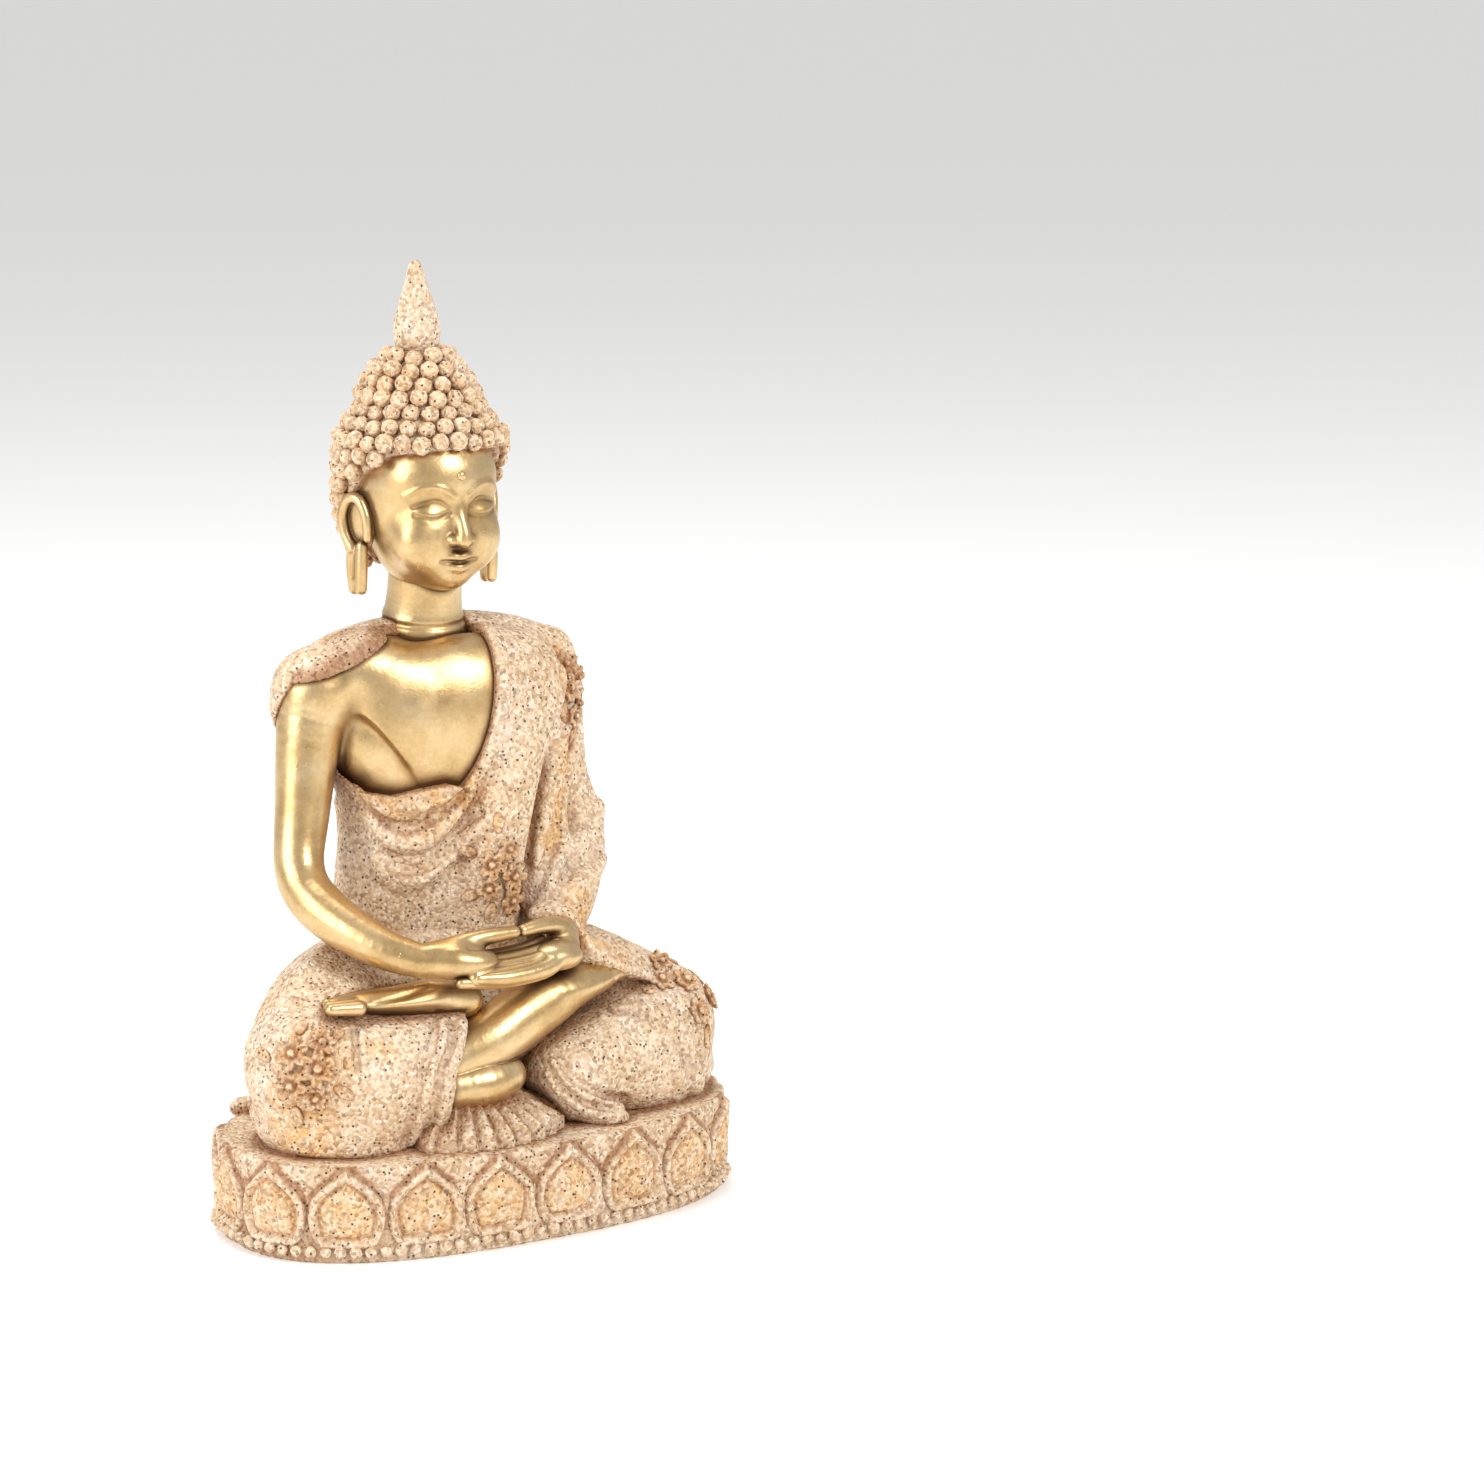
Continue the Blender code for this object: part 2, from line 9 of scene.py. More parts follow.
import bmesh
import bpy
import numpy as np
from mathutils import Euler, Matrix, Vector


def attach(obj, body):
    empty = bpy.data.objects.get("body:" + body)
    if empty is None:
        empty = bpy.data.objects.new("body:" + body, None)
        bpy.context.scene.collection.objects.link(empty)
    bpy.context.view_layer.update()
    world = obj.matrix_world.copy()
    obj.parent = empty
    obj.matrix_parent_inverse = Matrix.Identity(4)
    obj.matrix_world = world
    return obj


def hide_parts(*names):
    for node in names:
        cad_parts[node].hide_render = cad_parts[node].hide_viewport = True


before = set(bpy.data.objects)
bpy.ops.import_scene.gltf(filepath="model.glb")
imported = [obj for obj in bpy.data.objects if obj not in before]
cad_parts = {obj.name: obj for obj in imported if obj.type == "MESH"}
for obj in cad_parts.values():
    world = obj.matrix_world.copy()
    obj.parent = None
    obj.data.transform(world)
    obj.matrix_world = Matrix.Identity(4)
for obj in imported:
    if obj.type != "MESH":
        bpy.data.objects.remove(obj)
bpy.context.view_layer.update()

MM = 0.001
SHIFT = np.array((0.0, -1.0, 0.0))  # from the middle of the base to the frame's origin, in millimetres
SHADE = {}


def placed(name, data):
    """A new object in the scene."""
    made = bpy.data.objects.new(name, data)
    bpy.context.scene.collection.objects.link(made)
    return made


def corners_of(mesh):
    """Where the mesh's corners are, one row each."""
    values = np.empty(len(mesh.vertices) * 3)
    mesh.vertices.foreach_get("co", values)
    return values.reshape(-1, 3)


# %% [markdown]
# ## Clay
# A carver builds a figure from soft masses that melt into each other, then presses creases in and raises hems.
# Clay does the same. It keeps a list of shapes, each with a rule for the distance to its skin, and melts the
# distances together. Everything in it is in millimetres, measured from the middle of the base.


# %% Shapes that clay is built from
def egg(centre, radii, lean=(0, 0, 0)):
    """An ellipsoid, leaned by degrees about X, Y and Z."""
    c, r = np.array(centre, float), np.array(radii, float)
    turn = np.array(Euler([radians(a) for a in lean]).to_matrix())

    def away(points):
        q = (points - c) @ turn
        k0 = np.sqrt(((q / r) ** 2).sum(1))
        k1 = np.sqrt(((q / r**2) ** 2).sum(1))
        return k0 * (k0 - 1) / np.maximum(k1, 1e-6)

    reach = r if not any(lean) else np.full(3, r.max())
    return c - reach, c + reach, away


def smooth(points, steps=4):
    """A rounder line through the points."""
    p = np.array(points, float)
    if len(p) < 3:
        return p
    ends = np.vstack([2 * p[0] - p[1], p, 2 * p[-1] - p[-2]])
    out = []
    for a, b, c, d in zip(ends, ends[1:], ends[2:], ends[3:]):
        for t in np.arange(steps) / steps:
            bend, twist = 2 * a - 5 * b + 4 * c - d, 3 * b - a - 3 * c + d
            out.append(0.5 * (2 * b + (c - a) * t + bend * t**2 + twist * t**3))
    return np.array(out + [p[-1]])


def to_line(points, line, radii):
    """The distance from each point to a line of sticks with the given radii."""
    best = np.full(len(points), 99.0)
    for a, b, ra, rb in zip(line, line[1:], radii, radii[1:]):
        ab = b - a
        t = np.clip((points - a) @ ab / max(ab @ ab, 1e-9), 0, 1)
        gap = points - a - t[:, None] * ab
        best = np.minimum(best, np.sqrt((gap**2).sum(1)) - (ra + (rb - ra) * t))
    return best


def strand(points, radii, steps=4):
    """A limb, finger or fold along a smooth line."""
    both = smooth(np.hstack([np.array(points, float), np.array(radii, float)[:, None]]), steps)
    line, size = both[:, :3], both[:, 3]
    reach = size.max()
    return line.min(0) - reach, line.max(0) + reach, lambda p: to_line(p, line, size)


def grown(clay, by, low, high):
    """Another clay's shape, thicker by the given amount."""
    return np.array(low, float), np.array(high, float), lambda p: clay.at(p) - by


def melt(a, b, soft):
    if soft <= 0:
        return np.minimum(a, b)
    h = np.clip(0.5 + 0.5 * (b - a) / soft, 0, 1)
    return b * (1 - h) + a * h - soft * h * (1 - h)


class Clay:
    """A lump built from shapes, in the order in which they were put on."""

    def __init__(self, steps=()):
        self.steps = list(steps)

    def copy(self):
        return Clay(self.steps)

    def put(self, kind, shape, soft):
        self.steps.append((kind, shape, soft))
        return self

    def add(self, shape, soft=0.0):
        return self.put("add", shape, soft)

    def carve(self, shape, soft=0.0):
        return self.put("carve", shape, soft)

    def keep(self, side):
        """Keeps what lies where side is negative."""
        return self.put("keep", (np.full(3, -999.0), np.full(3, 999.0), side), 0)

    def at(self, points):
        d = np.full(len(points), 50.0)
        for kind, (low, high, away), soft in self.steps:
            reach = 3.5 + soft
            near = np.flatnonzero(((points > low - reach) & (points < high + reach)).all(1))
            if not len(near):
                continue
            here = away(points[near])
            if kind == "add":
                d[near] = melt(d[near], here, soft)
            elif kind == "carve":
                d[near] = -melt(-d[near], here, soft)
            elif kind == "keep":
                d[near] = np.maximum(d[near], here)
            else:
                d[near] -= here
        return d

    def slope(self, points, step=0.12):
        total = np.zeros((len(points), 3))
        for corner in ((1, -1, -1), (-1, -1, 1), (-1, 1, -1), (1, 1, 1)):
            k = np.array(corner, float)
            total += k * self.at(points + k * step)[:, None]
        return total / np.maximum(np.linalg.norm(total, axis=1), 1e-9)[:, None]

    def settle(self, points, lift=0.0):
        """Moves the points onto the skin."""
        p = np.array(points, float)
        for _ in range(6):
            p = p - self.slope(p) * np.clip(self.at(p) - lift, -1.5, 1.5)[:, None]
        return p

    def press(self, points, height, width, steps=4, settled=True):
        """Raises a ridge along a line on the skin, or presses a groove where the height is negative."""
        line = smooth(self.settle(points) if settled else points, steps)
        if settled:
            line = self.settle(line)
        none = np.zeros(len(line))
        reach = 2.6 * width

        def amount(p):
            return height * np.exp(-((to_line(p, line, none) / width) ** 2))

        return self.put("press", (line.min(0) - reach + 3, line.max(0) + reach - 3, amount), 0)


# %% [markdown]
# ## From clay to mesh
# The distance is read on a fine grid, but only near the skin, and one corner is placed in every small cube that
# the skin passes through. How far each corner sits in a hollow, closed in by its own skin and by the pieces
# around it, is kept with the mesh, and the finishes darken it there as painted shade.


# %% Turn clay into a mesh
def mark(mesh, name, values):
    """Keeps one number for each corner of the mesh, for the finishes to read."""
    layer = mesh.attributes.get(name) or mesh.attributes.new(name, "FLOAT", "POINT")
    layer.data.foreach_set("value", np.asarray(values, np.float32))


def grid_values(clay, low, high, cell):
    """The distance on a grid whose far blocks are filled with one coarse value each."""
    block = 4
    low = np.array(low, float)
    n = np.ceil((np.array(high, float) - low) / (cell * block)).astype(int)
    corner = np.stack(np.meshgrid(*[np.arange(k) for k in n], indexing="ij"), -1).reshape(-1, 3)
    coarse = clay.at(low + (corner + 0.5) * block * cell)
    values = np.empty((n[0], block, n[1], block, n[2], block))
    values[:] = coarse.reshape(n)[:, None, :, None, :, None]
    live = corner[np.abs(coarse) < block * cell * 1.3 + 0.5]
    fine = np.stack(np.meshgrid(*[np.arange(block)] * 3, indexing="ij"), -1).reshape(-1, 3)
    points = low + ((live * block)[:, None, :] + fine[None] + 0.5).reshape(-1, 3) * cell
    here = np.concatenate([clay.at(part) for part in np.array_split(points, len(points) // 400000 + 1)])
    by_block = values.transpose(0, 2, 4, 1, 3, 5)
    by_block[live[:, 0], live[:, 1], live[:, 2]] = here.reshape(-1, block, block, block)
    return values.reshape(n * block), low + 0.5 * cell


def net(values):
    """Corners and faces of the skin, where the values change sign."""
    room = np.array(values.shape) - 1
    stride = np.array((room[1] * room[2], room[2], 1))
    spots, owners, quads = [], [], []
    for axis in range(3):
        one, two = (axis + 1) % 3, (axis + 2) % 3
        first = [slice(None)] * 3
        second = [slice(None)] * 3
        first[axis], second[axis] = slice(None, -1), slice(1, None)
        where = np.argwhere((values[tuple(first)] < 0) != (values[tuple(second)] < 0))
        inner = (where[:, one] > 0) & (where[:, one] < room[one]) & (where[:, two] > 0) & (where[:, two] < room[two])
        where = where[inner]
        ahead = where.copy()
        ahead[:, axis] += 1
        a, b = values[tuple(where.T)], values[tuple(ahead.T)]
        spot = where.astype(float)
        spot[:, axis] += a / (a - b)
        ring = []
        for back_one, back_two in ((0, 0), (1, 0), (1, 1), (0, 1)):
            cube = where.copy()
            cube[:, one] -= back_one
            cube[:, two] -= back_two
            ring.append(cube @ stride)
            spots.append(spot)
            owners.append(ring[-1])
        ring = np.stack(ring, 1)
        ring[a > 0] = ring[a > 0][:, ::-1]
        quads.append(ring)
    owners, spots, quads = np.concatenate(owners), np.concatenate(spots), np.concatenate(quads)
    used = np.zeros(int(room.prod()), bool)
    used[owners] = True
    index = np.cumsum(used) - 1
    owner = index[owners]
    count = np.bincount(owner)
    corners = np.stack([np.bincount(owner, spots[:, k]) / count for k in range(3)], 1)
    return corners, index[quads]


def cast(name, clay, low, high, cell, finish, nodes, around=(), gilt=None):
    """Makes a named piece from clay, within the box low to high. Gilt says where gold is brushed on."""
    values, origin = grid_values(clay, low, high, cell)
    for axis in range(3):  # whatever reaches the box's side is closed there, not left open
        sides = np.moveaxis(values, axis, 0)
        sides[[0, -1]] = np.maximum(sides[[0, -1]], cell / 2)
    corners, faces = net(values)
    points = origin + corners * cell
    points -= clay.slope(points) * np.clip(clay.at(points), -cell, cell)[:, None] * 0.8
    out = clay.slope(points)
    # Painted shade: how closed in each corner is, by its own skin and by the pieces around it.
    hollow = np.zeros(len(points))
    for reach, share in ((0.6, 0.35), (1.4, 0.35), (3.0, 0.3)):
        probe = points + out * reach
        open_air = clay.at(probe)
        for other in around:
            open_air = np.minimum(open_air, other.at(probe))
        hollow += share * np.clip(1 - open_air / reach, 0, 1)
    mesh = bpy.data.meshes.new(name)
    mesh.from_pydata(((points + SHIFT) * MM).tolist(), [], faces.tolist())
    mark(mesh, "hollow", hollow)
    mark(mesh, "gilt", gilt(points) if gilt else np.zeros(len(points)))
    return dress(name, mesh, finish, nodes)


def dress(name, mesh, finish, nodes):
    """Adds the mesh as a piece with its finish, standing for the solid model's nodes."""
    mesh.materials.clear()
    mesh.materials.append(SHADE[finish])
    mesh.polygons.foreach_set("use_smooth", np.ones(len(mesh.polygons), bool))
    piece = placed(name, mesh)
    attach(piece, "root")
    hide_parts(*nodes)
    print(f"{name}: {len(mesh.polygons)} faces")
    return piece


# %% [markdown]
# ## Two finishes
# Sandstone: cream cast stone with tan and orange grains, dark specks, and brown painted shade in the crevices. Its
# grain is about half a millimetre across. Gilding: satin champagne gold with a dark brown patina in the recesses,
# deepened there into painted shade, and faint cloudiness where the paint is thin.


# %% Make the finishes
def node(tree, kind, at=(0, 0), **values):
    made = tree.nodes.new(kind)
    made.location = at
    for key, value in values.items():
        if hasattr(made, key):
            setattr(made, key, value)
        else:
            made.inputs[key.replace("_", " ")].default_value = value
    return made


def ramp(tree, source, stops, kind="LINEAR"):
    made = tree.nodes.new("ShaderNodeValToRGB")
    made.color_ramp.interpolation = kind
    while len(made.color_ramp.elements) < len(stops):
        made.color_ramp.elements.new(0.5)
    for element, (place, colour) in zip(made.color_ramp.elements, stops):
        element.position = place
        element.color = (*colour, 1) if isinstance(colour, tuple) else (colour, colour, colour, 1)
    tree.links.new(source, made.inputs["Fac"])
    return made.outputs["Color"]


def mixed(tree, share, a, b, blend="MIX"):
    made = tree.nodes.new("ShaderNodeMix")
    made.data_type = "RGBA"
    made.blend_type = blend
    for socket, value in zip((made.inputs["Factor"], made.inputs[6], made.inputs[7]), (share, a, b)):
        if isinstance(value, bpy.types.NodeSocket):
            tree.links.new(value, socket)
        else:
            socket.default_value = (*value, 1) if isinstance(value, tuple) else value
    return made.outputs[2]


def grains(tree, coords, size_mm, **values):
    made = node(tree, "ShaderNodeTexVoronoi", **values)
    made.inputs["Scale"].default_value = 1000 / size_mm
    tree.links.new(coords, made.inputs["Vector"])
    return made


def clouds(tree, coords, size_mm, detail=3.0, rough=0.55):
    made = node(tree, "ShaderNodeTexNoise", Detail=detail, Roughness=rough)
    made.inputs["Scale"].default_value = 1000 / size_mm
    tree.links.new(coords, made.inputs["Vector"])
    return made.outputs["Fac"]


def new_finish(name):
    made = bpy.data.materials.new(name)
    made.use_nodes = True
    tree = made.node_tree
    coords = tree.nodes.new("ShaderNodeTexCoord").outputs["Object"]
    hollow = node(tree, "ShaderNodeAttribute", attribute_name="hollow").outputs["Fac"]
    SHADE[name] = made
    return tree, tree.nodes["Principled BSDF"], coords, hollow


def bumped(tree, shader, layers):
    """Bump layers: (height socket, depth in millimetres), coarse first."""
    normal = None
    for height, depth in layers:
        made = node(tree, "ShaderNodeBump", Strength=1.0)
        made.inputs["Distance"].default_value = depth * MM
        tree.links.new(height, made.inputs["Height"])
        if normal is not None:
            tree.links.new(normal, made.inputs["Normal"])
        normal = made.outputs["Normal"]
    tree.links.new(normal, shader.inputs["Normal"])


def make_sandstone():
    tree, shader, coords, hollow = new_finish("sandstone")
    gilt = node(tree, "ShaderNodeAttribute", attribute_name="gilt").outputs["Fac"]
    grain = grains(tree, coords, 0.52)
    shade = ramp(
        tree,
        grain.outputs["Color"],
        (
            (0.0, (0.07, 0.035, 0.02)), (0.12, (0.26, 0.13, 0.06)), (0.28, (0.50, 0.30, 0.155)),
            (0.5, (0.70, 0.50, 0.31)), (0.75, (0.86, 0.70, 0.51)), (1.0, (0.97, 0.90, 0.78)),
        ),
    )  # fmt: skip
    broad = ramp(
        tree, clouds(tree, coords, 9.0), ((0.35, (0.66, 0.46, 0.28)), (0.5, (0.75, 0.57, 0.40)),
            (0.65, (0.80, 0.67, 0.55)))
    )
    colour = mixed(tree, 0.64, broad, shade)
    specks = grains(tree, coords, 0.85)
    near = ramp(tree, specks.outputs["Distance"], ((0.16, 1.0), (0.30, 0.0)))
    rare = ramp(tree, specks.outputs["Color"], ((0.42, 1.0), (0.46, 0.0)))
    colour = mixed(tree, mixed(tree, 1.0, near, rare, "MULTIPLY"), colour, (0.06, 0.035, 0.025))
    gold = mixed(tree, 1.0, colour, (1.0, 0.80, 0.50), "MULTIPLY")
    patch = ramp(tree, clouds(tree, coords, 1.8), ((0.38, 0.15), (0.6, 1.0)))
    brushed = mixed(tree, 1.0, patch, gilt, "MULTIPLY")
    colour = mixed(tree, brushed, colour, gold)
    # Painted shade: brown darkening in the crevices and where pieces meet, from the hollow mark.
    painted_shade = ramp(tree, hollow, ((0.07, 0.0), (0.50, 0.88)))
    colour = mixed(tree, painted_shade, colour, mixed(tree, 1.0, colour, (0.50, 0.32, 0.21), "MULTIPLY"))
    tree.links.new(colour, shader.inputs["Base Color"])
    shader.inputs["Roughness"].default_value = 0.62
    shader.inputs["Specular IOR Level"].default_value = 0.4
    domes = ramp(tree, grain.outputs["Distance"], ((0.0, 1.0), (0.9, 0.0)))
    bumped(tree, shader, ((clouds(tree, coords, 2.2, 2.0), 0.35), (domes, 0.20)))


def make_gilding():
    tree, shader, coords, hollow = new_finish("gilding")
    cloudy = clouds(tree, coords, 7.0, 4.0)
    colour = ramp(tree, cloudy, ((0.3, (0.52, 0.33, 0.13)), (0.5, (0.66, 0.45, 0.21)), (0.75, (0.79, 0.60, 0.34))))
    flecks = grains(tree, coords, 0.5)
    colour = mixed(tree, 0.10, colour, ramp(tree, flecks.outputs["Color"],
        ((0.0, (0.3, 0.18, 0.07)), (1.0, (1.0, 0.86, 0.6)))))
    # Patina and painted shade: dark brown in the recesses and where pieces meet, from the hollow mark.
    patina_and_shade = ramp(tree, hollow, ((0.10, 0.0), (0.60, 0.95)))
    colour = mixed(tree, patina_and_shade, colour, (0.13, 0.065, 0.025))
    tree.links.new(colour, shader.inputs["Base Color"])
    shader.inputs["Metallic"].default_value = 0.9
    rough = ramp(tree, clouds(tree, coords, 3.0, 3.0), ((0.3, 0.26), (0.7, 0.38)))
    rough = mixed(tree, patina_and_shade, rough, (0.6, 0.6, 0.6))
    tree.links.new(rough, shader.inputs["Roughness"])
    bumped(tree, shader, ((clouds(tree, coords, 1.6, 3.0), 0.035), (flecks.outputs["Distance"], 0.012)))


make_sandstone()
make_gilding()

# %% [markdown]
# ## The body under the robe
# The torso carries broad shoulders and a soft chest. The bare right arm comes down beside it, bends at the elbow
# and brings the hand to the lap. The robe is later laid over the same shapes, so it fits the body by itself.

# %% Model the torso, the neck and the right arm
torso = Clay()
torso.add(egg((0, 12.8, 75.0), (18.0, 10.2, 13.0)))
torso.add(egg((0, 12.6, 57), (14.8, 9.6, 19)), 5)
for side in (-1, 1):
    torso.add(strand([(side * 20.5, 13, 83.4), (side * 12, 13.6, 85.2), (0, 14, 83.4)], [5.5, 5.6, 5.4]), 4)
    torso.add(strand([(side * 14, 14.6, 86.6), (side * 7, 15.4, 88.2), (0, 16, 87.2)], [3.4, 3.8, 4.0]), 3)
chest = Clay().add(egg((3, 7.4, 78), (19, 6.7, 13.2)))
chest.keep(lambda p: -(p - np.array((-12.6, 0, 76.4))) @ np.array((0.805, 0, 0.593)))
torso.add(grown(chest, 0, (-17, 0, 64), (22, 14, 92)), 1.1)
torso.add(egg((-9.5, 9.4, 84.5), (10, 4.6, 6.5), (0, 20, 0)), 3)
torso.add(egg((5.0, 7.0, 79.0), (10, 5.4, 9), (0, -40, 0)), 2.5)

arm_line = [(-19.8, 13.2, 83.0), (-21.6, 12.8, 78.6), (-23.0, 12.0, 71), (-24.4, 10.8, 64), (-26.0, 9.0, 57.8),
            (-26.3, 6.4, 53.8), (-25.4, 2.0, 50.8), (-23.2, -3.2, 48.2), (-20.0, -8.4, 45.8), (-16.2, -12.0, 44.4)]  # fmt: skip
ARM_RADII = [5.9, 5.3, 4.75, 4.3, 3.95, 3.95, 3.95, 3.6, 3.1, 2.7]
arm_shape = strand(arm_line, ARM_RADII)
skin = torso.copy().add(arm_shape, 1.6)

neck = Clay()
neck.add(strand([(0, 15.4, 86), (0, 15.2, 90.5), (0, 14.8, 93.5), (0, 14.2, 98), (0, 13.4, 104)],
    [7.3, 7.15, 6.35, 5.9, 6.0]))
for height, deep, wide in ((93.1, -0.55, 0.4), (90.2, -0.35, 0.35)):
    ring = [(6.9 * sin(a), 15.1 - 6.9 * cos(a), height - 0.7 * cos(a)) for a in np.linspace(-pi, pi, 17)]
    neck.press(ring, deep, wide)

# %% [markdown]
# ## The hands
# They rest in the lap in meditation: right on left, palms up, with the tips of the thumbs touching.

# %% Model both hands
right_hand = Clay()
right_hand.add(strand(arm_line[-4:], ARM_RADII[-4:]))
right_hand.add(strand([(-16.2, -12.0, 44.4), (-13.6, -13.2, 44.3), (-11.6, -13.9, 44.2)], [2.7, 2.65, 2.7]))
right_hand.keep(lambda p: (p - np.array((-18.0, -10.3, 45.1))) @ np.array((-0.7, 0.67, 0.26)) - 0.3)
right_hand.add(egg((-9.6, -14.6, 44.0), (5.4, 3.4, 2.5), (0, 6, -12)), 1.8)
for y, z, tip in ((-12.4, 44.0, 5.6), (-14.0, 43.5, 7.6), (-15.7, 42.9, 6.6), (-17.0, 42.2, 3.6)):
    finger = [(-9, y + 0.1, z - 0.5), (-4.6, y - 0.3, z - 0.5), (tip * 0.2, y - 0.3, z - 0.1), (tip, y + 0.7, z + 0.9)]
    right_hand.add(strand(finger, [1.5, 1.3, 1.16, 0.85]), 0.3)
thumb = [(-14, -12.8, 45.2), (-9.4, -13.2, 46.5), (-4.6, -13.5, 47.1), (-0.2, -13.7, 47.2)]
right_hand.add(strand(thumb, [1.9, 1.55, 1.3, 0.95]), 1.2)
right_hand.press([(-9.8, -15.8, 45.4), (-7.4, -15.9, 45.6), (-5, -15.0, 45.6)], -0.4, 0.4)

left_hand = Clay()
left_hand.add(strand([(14.8, -3.6, 45.4), (12.2, -7.6, 44.9), (10.2, -10.8, 43.9)], [2.9, 2.6, 2.6]))
left_hand.add(egg((7.0, -13.8, 42.6), (4.8, 4.2, 2.4), (0, 8, 26)), 2.0)
for y, z, tip in ((-13.8, 41.2, -8.0), (-15.6, 40.9, -10.4), (-17.2, 41.0, -11.4), (-18.3, 41.6, -9.0)):
    finger = [(7.0, y + 2.4, z + 1.4), (3.0, y + 0.6, z + 0.2), (tip * 0.4, y - 0.1, z - 0.2), (tip, y + 0.6, z + 0.1)]
    left_hand.add(strand(finger, [1.6, 1.4, 1.25, 0.9]), 0.3)
thumb = [(9.8, -10.6, 45.6), (7.8, -11.8, 46.9), (4.4, -12.8, 47.3), (1.4, -13.5, 47.2)]
left_hand.add(strand(thumb, [2.0, 1.5, 1.25, 0.95]), 0.9)

# %% [markdown]
# ## The feet
# The figure sits cross-legged. The left foot lies on the right thigh, sole up, and the right shin and foot cross
# in front. Toes are short strands that touch each other.

# %% Model both feet and the left ankle
right_foot = Clay()
shin = [(-10.4, -11.0, 27.2), (-4.0, -11.6, 29.8), (1.6, -11.2, 32.6), (7.6, -10.8, 35.0), (12.6, -10.2, 36.2),
    (17, -9.2, 36.6)]
right_foot.add(strand(shin, [4.6, 4.9, 4.9, 4.5, 3.2, 2.2]))
right_foot.add(egg((14.0, -9.6, 36.6), (8.6, 4.4, 2.4), (0, -2, 22)), 1.8)
for i in range(5):
    toe = [(19.6 - i * 0.3, -10.4 + i * 1.6, 37.0), (23.0 - i * 0.6, -8.6 + i * 1.6, 36.6)]
    right_foot.add(strand(toe, [1.25 - i * 0.07, 1.0 - i * 0.06]), 0.35)
right_foot.add(strand([(-11, -13.4, 23.6), (-6, -14.0, 23.8), (-2, -13.4, 24.4)], [3.4, 3.8, 3.3]))
left_foot = Clay()
left_foot.add(strand([(-7, -9.4, 36.4), (-12, -9.8, 37.6), (-18, -9.6, 37.9), (-24.5, -8.4, 38.0)],
    [3.0, 2.9, 2.4, 1.6]))
left_foot.add(egg((-19, -8.2, 38.0), (10.5, 4.4, 1.5), (0, 2, -8)), 1.0)
for i in range(5):
    toe = [(-26.4 + i * 0.3, -11.0 + i * 1.7, 38.0), (-30.8 + i * 0.5, -10.2 + i * 1.7, 38.2)]
    left_foot.add(strand(toe, [1.2 - i * 0.06, 0.95 - i * 0.05]), 0.35)
left_foot.press([(-24, -12.2, 38.8), (-19, -11.8, 39.2), (-14, -11.2, 39.6)], -0.35, 0.6)

# %% [markdown]
# ## The head
# The face is a plain, calm one drawn on the usual thirds: hairline to brow, brow to nose, nose to chin. The eyes
# look down under full lids, and the mouth is closed. The ears are long, with an open rim and a loose square lobe.

# %% Model the head
head = Clay()
head.add(egg((0, 15.2, 115.2), (11.0, 11.6, 11.6)))
head.add(egg((0, 12.2, 108.6), (9.7, 9.7, 10.6)), 3.5)
head.add(egg((0, 8.4, 117.0), (8.4, 6.2, 6.0)), 4)
head.add(egg((0, 6.4, 101.8), (3.4, 3.2, 2.8)), 3.2)
for side in (-1, 1):
    head.add(egg((side * 4.8, 6.2, 106.6), (3.9, 3.4, 4.4)), 3)
    head.carve(egg((side * 4.5, 1.5, 112.2), (3.3, 1.6, 1.9), (0, side * -6, side * 18)), 1.6)
    head.add(egg((side * 4.3, 5.3, 111.2), (2.9, 2.5, 1.7), (0, side * -5, side * 14)), 0.9)
head.add(strand([(0, 3.5, 114.6), (0, 2.6, 111.4), (0, 1.3, 108.4), (0, 1.2, 107.2)], [0.8, 0.9, 1.1, 1.25]), 1.2)
for side in (-1, 1):
    head.add(egg((side * 1.5, 2.5, 107.1), (1.0, 1.35, 0.95)), 0.6)
    brow = [(side * 1.3, 2.4, 114.2), (side * 3.4, 2.3, 115.5), (side * 6.0, 3.4, 115.5), (side * 8.2, 5.6, 114.0)]
    head.press(brow, 0.28, 0.5)
    lid = [(side * 1.7, 3.0, 111.2), (side * 3.2, 2.4, 110.7), (side * 4.8, 2.8, 110.5), (side * 6.9, 4.4, 111.2)]
    head.press(lid, -0.42, 0.32)
    crease = [(side * 1.8, 3.2, 112.3), (side * 4.2, 2.6, 113.2), (side * 7.0, 4.8, 112.4)]
    head.press(crease, -0.22, 0.34)
head.add(strand([(-2.7, 3.9, 103.9), (-1.2, 2.8, 104.5), (0, 2.6, 104.3), (1.2, 2.8, 104.5), (2.7, 3.9, 103.9)],
                [0.35, 0.72, 0.74, 0.72, 0.35]), 0.5)  # fmt: skip
head.add(strand([(-2.1, 3.8, 103.1), (0, 2.9, 102.7), (2.1, 3.8, 103.1)], [0.5, 0.95, 0.5]), 0.5)
head.press([(-3.1, 4.0, 104.1), (-1.3, 2.4, 103.6), (0, 2.2, 103.5), (1.3, 2.4, 103.6), (3.1, 4.0, 104.1)], -0.45,
    0.28)
urna = Clay()
urna.add(egg(tuple(head.settle([(0, 2, 117.2)], 0.05)[0]), (0.75, 0.45, 0.75)))

